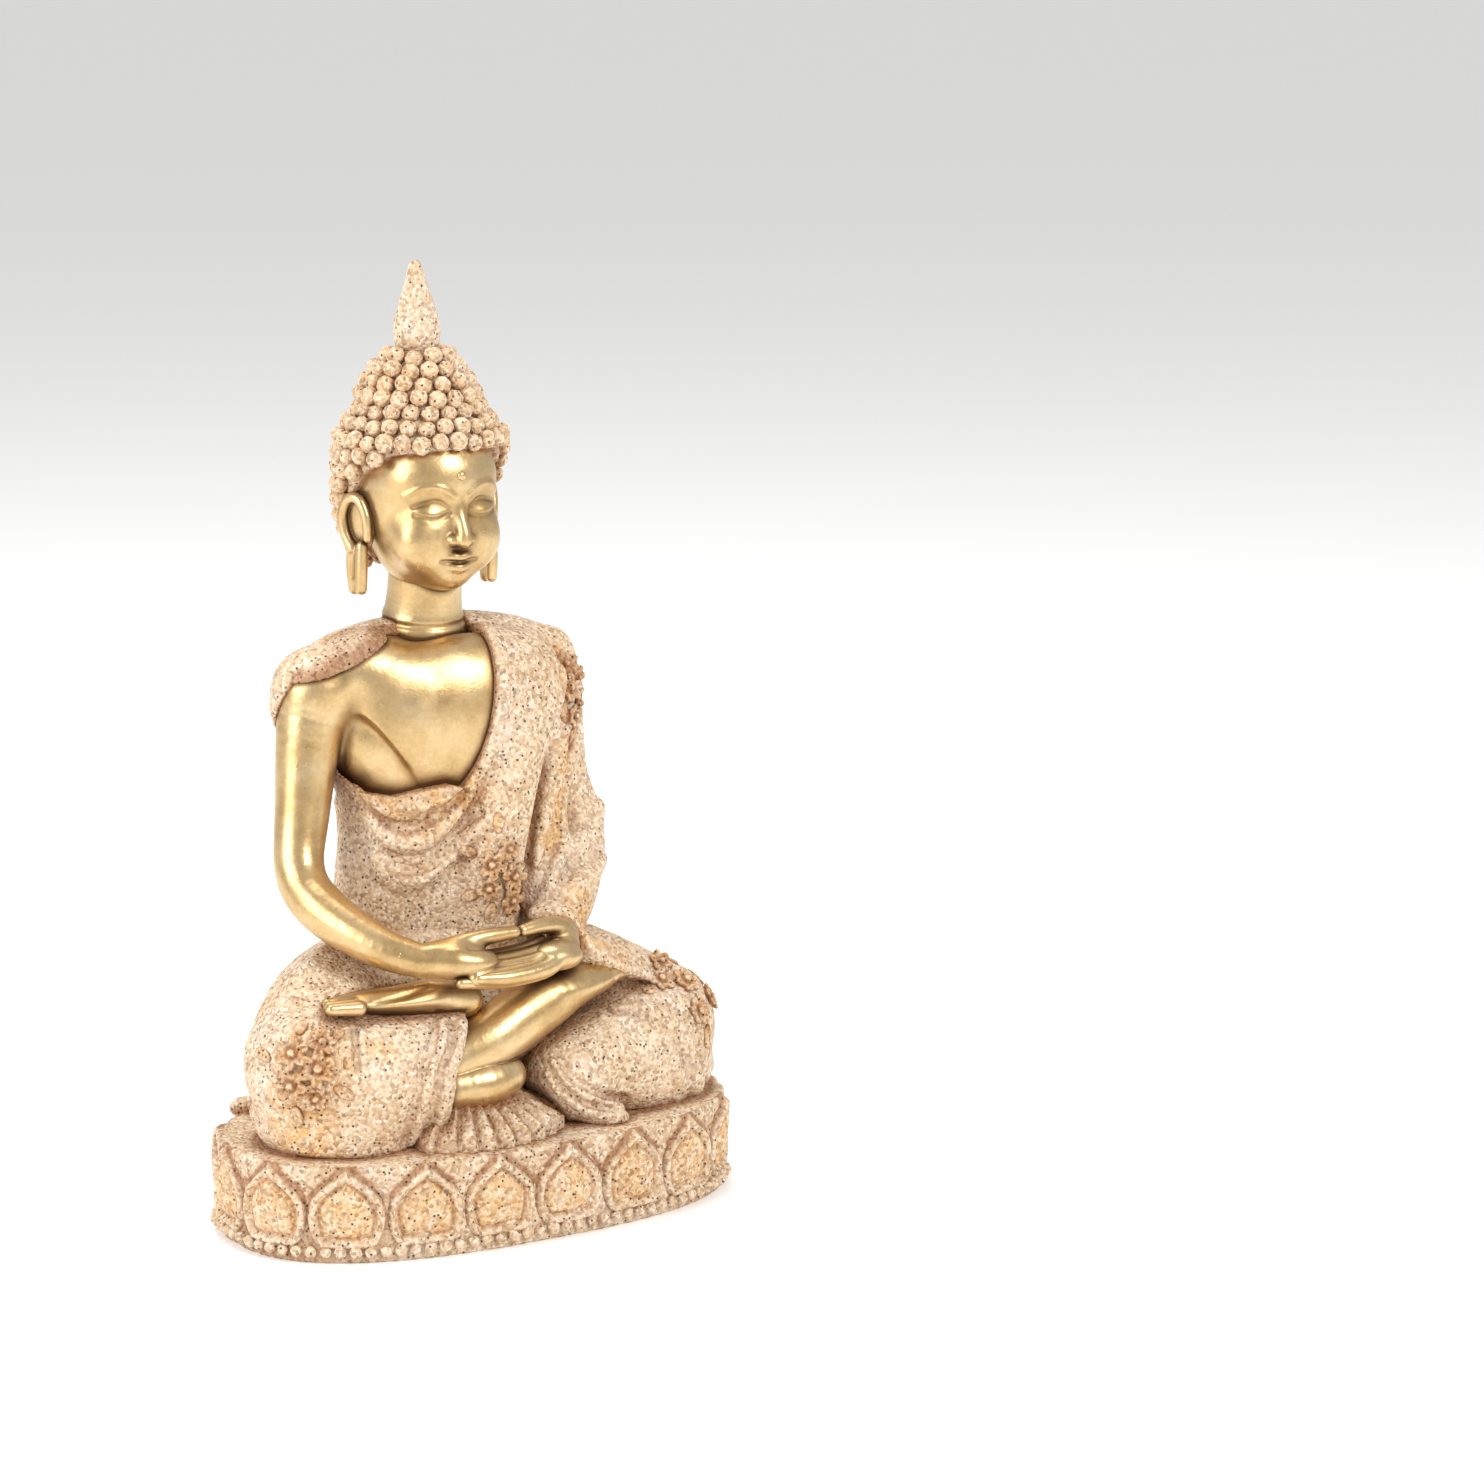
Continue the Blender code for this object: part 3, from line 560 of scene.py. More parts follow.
ears = {}
for name, side in (("right_ear", -1), ("left_ear", 1)):
    ear = Clay()
    x = side * 11.3
    rim = [(x, 11.9, 107.0), (x + side * 0.2, 12.0, 110.4), (x + side * 0.7, 13.4, 113.0),
        (x + side * 1.4, 15.4, 113.0),
           (x + side * 1.8, 16.7, 110.6), (x + side * 1.6, 16.3, 107.4), (x + side * 1.1, 15.0, 105.0)]  # fmt: skip
    ear.add(strand(rim, [0.7, 0.75, 0.85, 0.9, 0.9, 0.85, 0.9]))
    ear.add(egg((x - side * 0.1, 14.0, 109.0), (0.75, 2.6, 4.3), (0, side * 6, side * -20)), 0.3)
    ear.add(strand([(x + side * 0.9, 15.2, 105.4), (x + side * 0.8, 15.6, 102), (x + side * 0.6, 15.5, 98.6)],
        [0.95, 1.0, 0.9]), 0.3)
    ear.add(strand([(x + side * 0.4, 13.2, 105.6), (x + side * 0.5, 13.2, 102), (x + side * 0.5, 13.4, 98.8)],
        [0.9, 0.95, 0.9]), 0.5)
    ear.add(egg((x + side * 0.6, 14.3, 101.8), (0.85, 1.5, 3.9)), 0.5)
    ear.carve(strand([(x + side * 2.0, 14.4, 104), (x + side * 2.0, 14.4, 101)], [0.6, 0.6]), 0.6)
    ears[name] = ear

# %% [markdown]
# ## The robe
# The cloth is the body's own shape made thicker. It leaves the right side of the chest bare, crosses under it
# in a soft ruffle, falls in drooping folds and runs in a broad band over the left shoulder. Another end of it
# covers the right shoulder like a short cape.


# %% Model the robe
def bare_chest(p):
    """Negative where the robe lies, and positive over the bare chest."""
    edge = np.interp(p[:, 2], (62, 66, 68.2, 70.5, 73.5, 77.4, 81.6, 85.4, 88.3, 93),
        (-9, -2.6, 0.0, 1.4, 2.6, 3.8, 4.7, 5.4, 5.7, 6.2))
    under = np.interp(p[:, 0], (-19, -17.4, -15, -11, -7, -3, 1), (72.0, 70.0, 67.4, 66.8, 67.8, 68.4, 67.2))
    return np.minimum(np.minimum(edge - p[:, 0], p[:, 2] - under), 12.8 - p[:, 1])


def cape_edge(p):
    """The height of the cape's lower edge over the right shoulder."""
    front = np.interp(p[:, 0], (-30, -25.7, -20.9, -17.3, -13.9, -10.5, -8), (84.6, 85.4, 86.4, 87.8, 89.6, 91.3, 93))
    return front - 1.3 * np.clip(p[:, 1] - 10.5, 0, 12)


def cape_shape(p):
    thick = 0.45 + 0.75 * np.clip((p[:, 2] - cape_edge(p)) / 3.0, 0, 1)
    return skin.at(p) - thick


robe = Clay()
robe.add(grown(torso, 1.4, (-23, 0, 36), (23, 26, 98)))
robe.add(egg((0, 12.6, 48), (16.6, 11.4, 14)), 4)
robe.add(strand([(13.5, 8.5, 86.5), (12.2, 5.4, 79), (9.2, 3.2, 70), (6.2, 2.2, 62), (4.6, 2.2, 54), (4.0, 3.0, 46)],
                [4.2, 4.8, 5.0, 5.2, 5.4, 5.6]), 1.6)  # fmt: skip
swags = (
    ([(-18.2, 6.0, 69.4), (-16.0, 3.6, 66.2), (-12.6, 1.6, 65.2), (-8.6, 0.6, 65.3), (-4.6, 0.4, 66.4),
        (-1.0, 0.4, 67.6)],
     [1.3, 1.9, 2.5, 2.7, 2.1, 1.2]),
    ([(-18.4, 5.8, 63.4), (-15.8, 2.8, 60.9), (-12.0, 0.9, 59.7), (-7.4, 0.0, 60.2), (-3.2, -0.2, 62.4),
        (0.6, -0.2, 66.4)],
     [1.2, 1.6, 1.7, 1.7, 1.5, 1.1]),
    ([(-18.6, 5.0, 59.4), (-15.8, 1.8, 55.8), (-12.0, 0.0, 53.6), (-7.6, -0.6, 54.0), (-3.2, -0.8, 57.6),
        (0.8, -0.8, 62.8)],
     [1.2, 1.7, 1.9, 1.9, 1.6, 1.1]),
)  # fmt: skip
for line, size in swags:
    robe.add(strand(robe.settle(line, -0.35), size), 0.7)
robe.press([(-17.6, 4.6, 66.4), (-14.6, 2.0, 63.8), (-9.8, 0.4, 62.4), (-4.6, 0.0, 63.8), (-0.6, 0.0, 66.6)], -1.3,
    0.75)
robe.press([(-17.4, 3.8, 59.6), (-13.8, 0.9, 57.2), (-8.4, -0.4, 57.0), (-3.4, -0.8, 60.0), (0.4, -0.8, 64.4)], -1.1,
    0.8)
robe.press([(-15.6, 1.4, 53.4), (-12.0, -0.4, 50.9), (-7.6, -0.8, 51.2), (-3.2, -1.4, 54.4)], -0.6, 0.9)
robe.press([(-17.4, 4.0, 68.8), (-15.2, 2.4, 67.4), (-11.4, 0.9, 66.4), (-7.2, 0.4, 66.7), (-2.8, 0.0, 67.7)], -0.45,
    0.45)
for x, z in ((-15.2, 66.4), (-12.6, 65.4), (-9.8, 64.9), (-6.8, 65.4)):
    robe.press([(x - 0.3, 1.4, z + 1.8), (x + 0.5, 1.2, z), (x + 0.9, 1.4, z - 1.6)], -0.45, 0.6)
robe.press([(6.4, 8, 88.3), (6.2, 4.5, 84), (5.4, 2.5, 79), (4.2, 1, 74), (2.6, 0.4, 70.4), (0.2, 0.2, 67.4)], 0.45,
    0.8)
GROOVE = [(20.2, 7.4, 85.0), (18.2, 5.8, 79.6), (16.2, 4.4, 75.0), (12.9, 2.2, 68.6), (10.2, 0.8, 63.6),
    (9.2, -0.2, 57.8), (9.2, -0.8, 51.8), (7.6, -1.4, 46.0)]
robe.press(GROOVE, -1.7, 1.3)
robe.press(np.array(GROOVE) - (2.0, 0, 0.2), 0.55, 0.9)
for line in (
    [(-13, 24, 80), (-5, 24.5, 66), (6, 24, 54), (13, 21, 47)],
    [(-15, 22, 70), (-8, 24, 58), (3, 24, 49)],
    [(-6, 24, 86), (4, 25, 72), (12, 22.5, 58), (16, 17, 50)],
    [(-17, 18, 64), (-12, 22, 54), (-6, 24, 47)],
    [(6, 24, 88), (13, 23, 76), (18, 19, 64)],
):
    robe.press(line, 0.8, 1.2)
    robe.press(np.array(line) + (0, 0, 3), -0.5, 1.1)
robe_front = robe.copy().keep(bare_chest)

cape = Clay()
cape.add((np.array((-32.0, 0, 68)), np.array((3.0, 27, 99)), cape_shape))
cape.keep(lambda p: cape_edge(p) - p[:, 2])
cape.keep(lambda p: p[:, 0] + 4.0)

# %% [markdown]
# The left arm is hidden in a wide sleeve. Long folds run from the shoulder and the elbow towards the waist, and
# the cuff opens over the wrist and trails onto the thigh.

# %% Model the left sleeve
sleeve = Clay()
sleeve.add(strand([(20.4, 13, 81.8), (21.6, 12.4, 75), (22.0, 11.4, 65.5), (22.9, 8.8, 57), (20.0, 4.0, 51.6),
    (16.2, -1.6, 47.8), (13.4, -5.4, 45.8)],
                  [6.4, 5.6, 5.7, 6.0, 5.6, 4.6, 3.5]))  # fmt: skip
sleeve.add(strand([(17.2, 7.2, 78), (14.8, 5.2, 68), (13.4, 4.0, 59), (12.8, 1.8, 52), (12.0, -2, 47)],
    [3.8, 4.5, 4.9, 4.4, 3.2]), 3)
sleeve.add(strand([(12.8, -7.6, 44.4), (15.6, -8.8, 41.4), (21.2, -8.8, 38.6), (27.6, -7.6, 35.6)],
    [2.2, 2.5, 2.1, 1.3]), 1.6)
for line, height, width in (
    (np.array(GROOVE) + (0.8, 0, 0), -1.5, 1.1),
    ([(19.4, 5.4, 76), (17.0, 3.2, 69.4), (13.6, 1.0, 62), (11.2, -0.6, 54.6)], 1.5, 1.0),
    ([(21.6, 6.2, 75), (19.2, 3.4, 68), (15.8, 1.2, 61), (12.6, -0.8, 54), (10.8, -1.8, 49)], -2.1, 1.1),
    ([(23.8, 6.6, 73), (21.4, 3.6, 66), (18.0, 1.2, 59), (14.0, -1.2, 53)], 1.2, 1.1),
    ([(28.0, 6.2, 61), (24.8, 2.8, 58.0), (19.4, 0.0, 57.0), (15.0, -1.6, 55.4), (12.0, -2.4, 52.0)], 1.3, 1.3),
    ([(27.6, 4.4, 57.6), (23.4, 0.6, 54.6), (18.0, -1.2, 53.4), (13.2, -2.6, 51.0)], -1.5, 1.1),
    ([(25.4, 1.6, 53.0), (20.6, -1.6, 51.2), (15.0, -3.6, 49.8)], 1.0, 1.1),
    ([(24.0, 8, 78), (27.0, 8, 68), (27.4, 6, 63)], -0.8, 1.3),
    ([(8.8, -2.6, 47.0), (10.6, -5.4, 47.2), (12.6, -8.4, 46.4), (14.4, -10.6, 43.6), (15.2, -11.2, 41.6)], 1.2, 0.75),
    ([(10.4, -2.4, 49.2), (12.6, -5.2, 49.0), (15.0, -8.0, 47.2), (16.8, -10.0, 44.2)], -1.0, 0.8),
    ([(15.2, -11.2, 41.4), (17.8, -11.4, 39.8), (22.4, -10.6, 37.4), (27.6, -8.8, 34.9)], 0.8, 0.5),
    ([(17.4, -10.8, 42.4), (20.4, -10.8, 40.4), (24.8, -9.6, 38.2), (28.4, -8.0, 36.2)], -0.7, 0.6),
    ([(24, 18, 78), (26, 17, 66), (26, 14, 58)], 0.9, 1.2),
    ([(20, 19, 74), (22, 18, 62), (24, 12, 54)], -0.9, 1.2),
):
    sleeve.press(line, height, width)

# %% [markdown]
# ## The covered legs
# Thigh and shin fold at each knee under the cloth. Hems with a double edge cross both shins, and small upright
# folds gather at the thigh.

# %% Model the leg drapes, the seat and the fan of pleats
BASE_TOP = 15.4


def above_base(p):
    return BASE_TOP - 0.1 - p[:, 2]


def banded(clay, one, other, height=1.0):
    """A hem between two raised edges, with a furrow along its middle."""
    one, other = np.array(one, float), np.array(other, float)
    for share, lift, width in ((0.0, height, 0.6), (1.0, height, 0.6), (0.5, -0.8 * height, 0.6),
        (1.42, -0.8 * height, 0.7)):
        clay.press(one + (other - one) * share, lift, width)


right_leg = Clay()
right_leg.add(strand([(-9, 10, 34.6), (-20.5, 4.5, 33.0), (-30.6, -3.0, 28.0)], [12.0, 11.6, 10.2]))
right_leg.add(strand([(-30.6, -3.6, 26.8), (-23, -7.6, 26.2), (-13, -9.0, 25.8), (-6, -9.0, 25.8)],
    [10.0, 9.9, 10.0, 10.0]), 2)
right_leg.add(egg((-25, -3.0, 18.6), (14.2, 13.0, 7), (0, 0, -14)), 3)
banded(
    right_leg,
    [(-10.0, -14.6, 34.6), (-12.3, -17.8, 31.7), (-14.9, -19.1, 27.6), (-15.6, -18.3, 21.6), (-15.0, -15.6, 15.6)],
    [(-13.0, -13.6, 35.2), (-15.4, -17.4, 32.2), (-18.2, -18.8, 27.9), (-19.2, -18.0, 22.0), (-19.4, -16.4, 15.6)],
)
for line, height, width in (
    ([(-28.6, -12.0, 36.3), (-30.0, -14.6, 32.6), (-30.4, -15.6, 29.8)], 0.6, 0.5),
    ([(-26.6, -12.3, 36.1), (-27.8, -15.2, 32.4), (-28.4, -16.2, 29.6)], 0.6, 0.5),
    ([(-27.6, -12.2, 36.2), (-28.9, -14.9, 32.5), (-29.4, -15.9, 29.7)], -0.4, 0.5),
    ([(-24.2, -12.6, 36.0), (-25.2, -15.8, 32.0)], 0.45, 0.5),
    ([(-38, 4, 36), (-40.8, -3, 28), (-38, -9.4, 19)], 0.45, 1.4),
    ([(-22, -14.0, 17.0), (-30, -13.0, 16.8), (-37, -8.6, 16.8)], 0.6, 0.9),
    ([(-34, -1, 37.6), (-27, 3, 43), (-18, 6, 47)], 0.7, 1.2),
    ([(-32, -4, 37.4), (-24, -1, 42), (-16, 1, 45)], -0.6, 1.2),
    ([(-36, 5, 34), (-29, 12, 39), (-20, 16, 42)], 0.7, 1.2),
    ([(-38, 7, 27), (-31, 15, 32), (-22, 19, 34)], 0.6, 1.2),
    ([(-38, 3, 20), (-34, 12, 22), (-26, 18, 24)], 0.6, 1.2),
):
    right_leg.press(line, 1.35 * height, width)
right_leg.keep(above_base)
right_leg.keep(lambda p: p[:, 0] - np.interp(p[:, 2], (15, 22, 27.6, 32, 35),
    (-13.6, -14.2, -13.6, -11.0, -8.6)) - np.clip(p[:, 1] + 4, 0, 30))

left_leg = Clay()
left_leg.add(strand([(9, 10, 34), (21, 5.4, 31), (32.6, -0.6, 25.6)], [12.0, 11.2, 10.2]))
left_leg.add(strand([(32, -2.6, 25), (24, -7.4, 24.0), (11, -11.0, 22.0)], [9.8, 9.2, 7.6]), 2)
left_leg.add(egg((27, -2.5, 18.2), (14.6, 13.2, 6.4), (0, 0, 16)), 3)
left_leg.add(egg((13.5, -16.4, 16.6), (5.0, 3.6, 2.2), (0, 18, -14)), 1.6)
banded(
    left_leg,
    [(1.0, -17.4, 25.4), (4.6, -17.8, 21.2), (8.2, -18.9, 18.4), (12.4, -19.6, 16.8)],
    [(4.6, -15.9, 26.6), (7.4, -17.2, 22.4), (11.6, -18.2, 19.4), (16.6, -18.0, 17.6)],
)
banded(
    left_leg,
    [(16.0, -13.4, 33.6), (20.0, -14.8, 31.0), (25.2, -15.2, 26.4), (28.4, -15.0, 20.8), (29.2, -14.0, 16.0)],
    [(18.4, -12.4, 34.6), (24.6, -12.6, 31.6), (30.4, -13.2, 26.4), (32.8, -12.6, 20.8), (34.0, -11.0, 16.4)],
)
for line, height, width in (
    ([(38, 8, 30), (42, 1, 25), (40, -6, 18)], 0.45, 1.4),
    ([(22, 15, 37), (30, 10, 33), (36, 3, 34)], 0.6, 1.2),
    ([(22, 19, 31), (32, 14, 27), (39, 7, 22)], 0.6, 1.2),
    ([(24, 20, 23), (33, 15, 20), (40, 7, 18)], 0.6, 1.2),
    ([(20, -2, 38.6), (27, -3, 36.4), (33, -3, 35.0)], 0.6, 1.0),
):
    left_leg.press(line, 1.35 * height, width)
left_leg.keep(above_base)
left_leg.keep(lambda p: 0.6 + (27.0 - p[:, 2]) * 0.72 - p[:, 0] - np.clip(p[:, 1] + 6, 0, 30))

seat = Clay()
seat.add(egg((0, 9.5, 24), (31, 15.4, 17)))
seat.add(egg((0, 11.5, 38), (20.5, 13.2, 12)), 5)
seat.add(egg((0, -1, 31), (14, 12, 7.6)), 4)
for line in (
    [(-22, 18, 36), (-18, 23, 26), (-20, 23.5, 17)],
    [(-10, 22, 40), (-7, 24.5, 28), (-9, 24.6, 17)],
    [(3, 23, 42), (4, 25, 28), (2, 24.8, 17)],
    [(14, 21, 40), (15, 24, 27), (17, 23.6, 17)],
    [(24, 16, 34), (24, 21, 25), (27, 20.5, 17)],
):
    seat.press(line, 0.9, 1.3)
    seat.press(np.array(line) + (4, 0, 0), -0.6, 1.3)
seat.keep(above_base)
seat.keep(lambda p: p[:, 1] - 24.9)


def fan_shape(p):
    """A sloping sheet of pleats that spread from under the shins to a wavy rim on the base."""
    x, y, z = p[:, 0] + 7.0, p[:, 1] + 8.0, p[:, 2]
    turn = np.arctan2(x, -y)
    phase = (turn * 4.4 + 0.35) % 1.0
    wave = np.minimum(phase / 0.72, (1 - phase) / 0.28)
    reach = np.hypot(x * 0.84, y)
    rim = 14.2 + 0.7 * (wave - 0.5)
    t = np.clip(reach / 14.2, 0, 1)
    top = BASE_TOP + 0.8 + 9.0 * (1 - t) ** 0.8 - 1.5 * np.clip(x / 12, 0, 1) * (1 - t) + (wave - 0.35) * 1.9 * t**1.2
    return np.maximum((z - top) * 0.62, (reach - rim) * 0.85)


fan = Clay()
fan.add((np.array((-20.0, -24.0, 15.0)), np.array((12.0, -8.0, 26.0)), fan_shape))
fan.keep(above_base)

# %% [markdown]
# ## Relief flowers
# Small flowers with round petals, and pointed leaves, are modelled onto the robe at the left shoulder, the waist
# and both knees.


# %% Model the relief flowers
def blade(centre, along, out, length, width, thick):
    """A flat pointed-oval petal or leaf, lying along one direction and facing out."""
    axes = np.stack([along, np.cross(out, along), out])
    size = np.array((length, width, thick))

    def away(points):
        q = (points - centre) @ axes.T
        k0 = np.sqrt(((q / size) ** 2).sum(1))
        k1 = np.sqrt(((q / size**2) ** 2).sum(1))
        return k0 * (k0 - 1) / np.maximum(k1, 1e-6)

    return centre - length, centre + length, away


def flowers(ground, blooms, leaves):
    """Flowers (place, radius) and leaves (from, to, width) that stand on the ground clay."""
    clay = Clay()
    for place, radius in blooms:
        centre = ground.settle([place], 0.05)[0]
        out = ground.slope(centre[None])[0]
        across = np.cross(out, (0, 0, 1.0))
        across /= np.linalg.norm(across)
        up = np.cross(across, out)
        for k in range(6):
            turn = 2 * pi * k / 6 + place[0]
            way = across * cos(turn) + up * sin(turn)
            tilted = way * 0.94 + out * 0.34
            face = out * 0.94 - way * 0.34
            clay.add(blade(centre + way * radius * 0.52 + out * 0.15, tilted, face, 0.50 * radius, 0.33 * radius,
                0.5), 0.12)
            clay.press([centre + way * radius * 0.2 + out * 0.4, centre + way * radius * 0.9 + out * 0.7], -0.24,
                0.25, settled=False)
        clay.add(egg(tuple(centre + out * 0.5), (0.24 * radius,) * 3), 0.05)
    for start, end, width in leaves:
        one, two = ground.settle([start, end], 0.1)
        middle = (one + two) / 2
        out = ground.slope(middle[None])[0]
        way = two - one
        way -= out * (way @ out)
        length = np.linalg.norm(way)
        clay.add(blade(middle, way / length, out, 0.65 * length, 1.1 * width, 0.5), 0.15)
        clay.press([one + out * 0.5, two + out * 0.5], -0.25, 0.25, settled=False)
    return clay


shoulder_flowers = flowers(
    sleeve.copy().add(grown(robe, 0, (-23, -3, 36), (23, 26, 98))),
    (((21.4, 6.4, 84.8), 2.4), ((24.0, 6.2, 82.2), 2.2), ((20.8, 4.6, 81.0), 2.7), ((23.0, 4.6, 78.4), 2.3),
        ((20.6, 4.0, 76.8), 2.0)),
    (((19.6, 7.6, 87.2), (21.4, 7.0, 86.2), 0.9), ((25.8, 7.2, 80.2), (25.2, 6.2, 77.4), 0.9),
     ((18.6, 4.0, 79.2), (19.0, 3.8, 76.2), 0.9), ((21.8, 4.4, 75.6), (21.0, 3.8, 72.4), 0.9),
     ((18.0, 5.2, 83.8), (17.4, 4.4, 81.2), 0.8)),
)  # fmt: skip
sash_flowers = flowers(
    robe,
    (((2.4, -2.2, 55.6), 2.6), ((5.4, -1.6, 53.6), 2.7), ((1.8, -2.4, 51.8), 2.3), ((5.2, -1.6, 49.6), 2.4),
        ((5.0, -1.6, 58.0), 2.1)),
    (((-0.8, -2.2, 57.0), (-3.0, -2.0, 58.8), 0.8), ((2.4, -2.2, 49.2), (1.6, -2.2, 46.4), 0.9),
        ((5.0, -1.4, 47.0), (5.4, -1.4, 44.0), 0.9),
     ((4.2, -1.0, 60.6), (4.6, -0.6, 63.0), 0.8), ((-0.8, -2.4, 51.0), (-3.0, -2.2, 50.2), 0.8)),
)  # fmt: skip
right_knee_flowers = flowers(
    right_leg,
    (((-38.2, -10.6, 32.6), 2.9), ((-35.0, -13.4, 30.2), 3.1), ((-38.6, -11.0, 27.4), 2.9),
        ((-33.6, -12.6, 34.4), 2.5), ((-35.6, -13.6, 25.4), 2.6)),
    (((-31.8, -14.8, 31.6), (-29.6, -15.8, 30.6), 0.9), ((-32.6, -14.8, 27.0), (-30.4, -15.8, 25.4), 0.9),
        ((-36.4, -9.6, 35.8), (-34.8, -8.6, 37.6), 0.9),
     ((-40.0, -7.0, 31.0), (-40.8, -4.0, 32.0), 0.9), ((-37.8, -11.0, 23.6), (-37.2, -10.8, 21.0), 0.9),
         ((-31.6, -13.4, 35.6), (-29.8, -12.8, 36.8), 0.8)),
)  # fmt: skip
left_knee_flowers = flowers(
    left_leg,
    (((30.4, -7.4, 33.6), 2.7), ((34.6, -7.0, 32.2), 2.7), ((34.8, -10.0, 28.4), 2.6), ((38.4, -5.8, 28.8), 2.4),
        ((32.0, -3.4, 35.0), 2.3)),
    (((27.8, -9.6, 33.4), (26.0, -10.2, 34.2), 0.9), ((36.2, -9.6, 26.0), (36.2, -9.6, 23.2), 0.9),
        ((39.6, -4.0, 31.0), (39.6, -1.0, 32.4), 0.9),
     ((35.8, -2.6, 34.4), (37.0, 0.4, 34.6), 0.9)),
)  # fmt: skip

# %% [markdown]
# ## From clay to pieces
# The gilded pieces come first. The arm and the torso are one body in clay and are parted where the arm joins.

# %% Cast the skin pieces
fine = 0.26
cell = 0.34


def beside_arm(p):
    """Negative on the torso's side of the line where the arm joins it."""
    return -(p[:, 0] + 16.8 + (p[:, 2] - 76) * 0.12)


cast("torso", skin.copy().keep(lambda p: beside_arm(p) - 0.6).keep(lambda p: 45 - p[:, 2]), (-24, -2, 44),
    (24, 26, 94), cell,
     "gilding", ["torso"], (robe_front, cape, neck))  # fmt: skip
cast("right_arm", skin.copy().keep(lambda p: -beside_arm(p) - 0.6), (-32, -16, 39), (-12, 20, 91), 0.30,
     "gilding", ["right_arm"], (robe_front, cape, right_leg))  # fmt: skip
cast("neck", neck.copy().keep(lambda p: np.maximum(87 - p[:, 2], p[:, 2] - 102)), (-9, 5, 86), (9, 24, 103), fine,
     "gilding", ["neck"], (head, torso, robe_front))  # fmt: skip
cast("head", head, (-12, -2, 97), (12, 28, 128), 0.24, "gilding", ["head"], (neck,))
for name, ear in ears.items():
    x = -14.6 if name == "right_ear" else 9.4
    cast(name, ear, (x, 10, 96.5), (x + 5.2, 19, 115.5), 0.22, "gilding", [name], (head,))
cast("urna", urna, (-1.2, 0, 115.5), (1.2, 4, 119), 0.12, "gilding", ["urna"])
cast("right_hand", right_hand, (-22, -20, 38), (12, -5, 50), fine, "gilding", ["right_hand"], (left_hand, robe_front))
cast("left_hand", left_hand, (-14, -22, 36), (22, -2, 50), fine, "gilding", ["left_hand"],
    (right_hand, sleeve, right_foot))
cast("right_foot", right_foot, (-19, -22, 19), (26, -3, 42), fine, "gilding", ["right_foot"],
    (left_hand, left_leg, right_leg))
cast("left_foot", left_foot, (-34, -15, 31), (-3, -2, 42), fine, "gilding", ["left_foot"], (right_leg, left_hand))

# %% [markdown]
# The cloth follows. A little gold is brushed on its raised edges, near the lines that are listed here.


# %% Cast the robe pieces
def near_lines(*lines):
    """Where gold is brushed on: within a few millimetres of the lines."""

    def amount(p):
        total = np.zeros(len(p))
        for line, reach in lines:
            line = np.array(line, float)
            total = np.maximum(total, np.clip(1.6 - to_line(p, line, np.zeros(len(line))) / reach, 0, 1))
        return total

    return amount


ruffle_gold = near_lines((swags[0][0], 3.0), (swags[1][0], 1.4))
knee_gold = near_lines(([(-36, -14, 33), (-38, -12, 24), (-37, -11, 18)], 5.0),
    ([(-30, -15, 36), (-24, -16, 32)], 1.5))
sleeve_gold = near_lines(([(16, -5, 48), (14, -9, 44), (20, -9, 40)], 2.4),
    ([(22, 7, 85), (22, 5, 77), (18, 2, 66), (14, 0, 58)], 2.6))
cast("upper_robe", robe_front.copy().keep(lambda p: 40 - p[:, 2]), (-22, -5, 39), (24, 27, 95), cell, "sandstone",
    ["upper_robe"],
     (skin, neck, sleeve), ruffle_gold)  # fmt: skip
cast("right_shoulder_drape", cape, (-31, 0, 72), (2, 27, 97), cell, "sandstone", ["right_shoulder_drape"],
    (neck, robe))
cast("left_sleeve", sleeve, (8, -14, 31), (33, 21, 91), cell, "sandstone", ["left_sleeve"],
    (robe, left_hand, left_leg), sleeve_gold)
cast("right_leg_drape", right_leg, (-44, -22, 15), (-4, 24, 48), cell, "sandstone", ["right_leg_drape"],
    (skin, left_foot, seat), knee_gold)
cast("left_leg_drape", left_leg, (-2, -22, 15), (44, 24, 48), cell, "sandstone", ["left_leg_drape"],
    (right_foot, seat, sleeve))
cast("seat_drape", seat, (-33, -16, 15), (33, 26, 52), 0.40, "sandstone", ["seat_drape"],
    (robe, right_leg, left_leg, skin))
cast("hem_fan", fan, (-19, -24, 15), (11, -7, 26), 0.24, "sandstone", ["hem_fan"], (right_leg, left_leg, right_foot))
for name, clay, low, high, ground in (
    ("shoulder_flowers", shoulder_flowers, (15, 0, 70), (28, 13, 90), sleeve),
    ("sash_flowers", sash_flowers, (-6, -7, 42), (12, 5, 66), robe),
    ("right_knee_flowers", right_knee_flowers, (-45, -20, 17), (-26, 0, 40), right_leg),
    ("left_knee_flowers", left_knee_flowers, (23, -16, 19), (43, 3, 39), left_leg),
):
    cast(name, clay, low, high, 0.24, "sandstone", [name], (ground,), lambda p: np.full(len(p), 0.8))

# %% [markdown]
# ## Curls, beads and petals
# Things that repeat are laid out by Geometry Nodes: one small shape is put on every point of a guide, a little
# different each time, and made real.


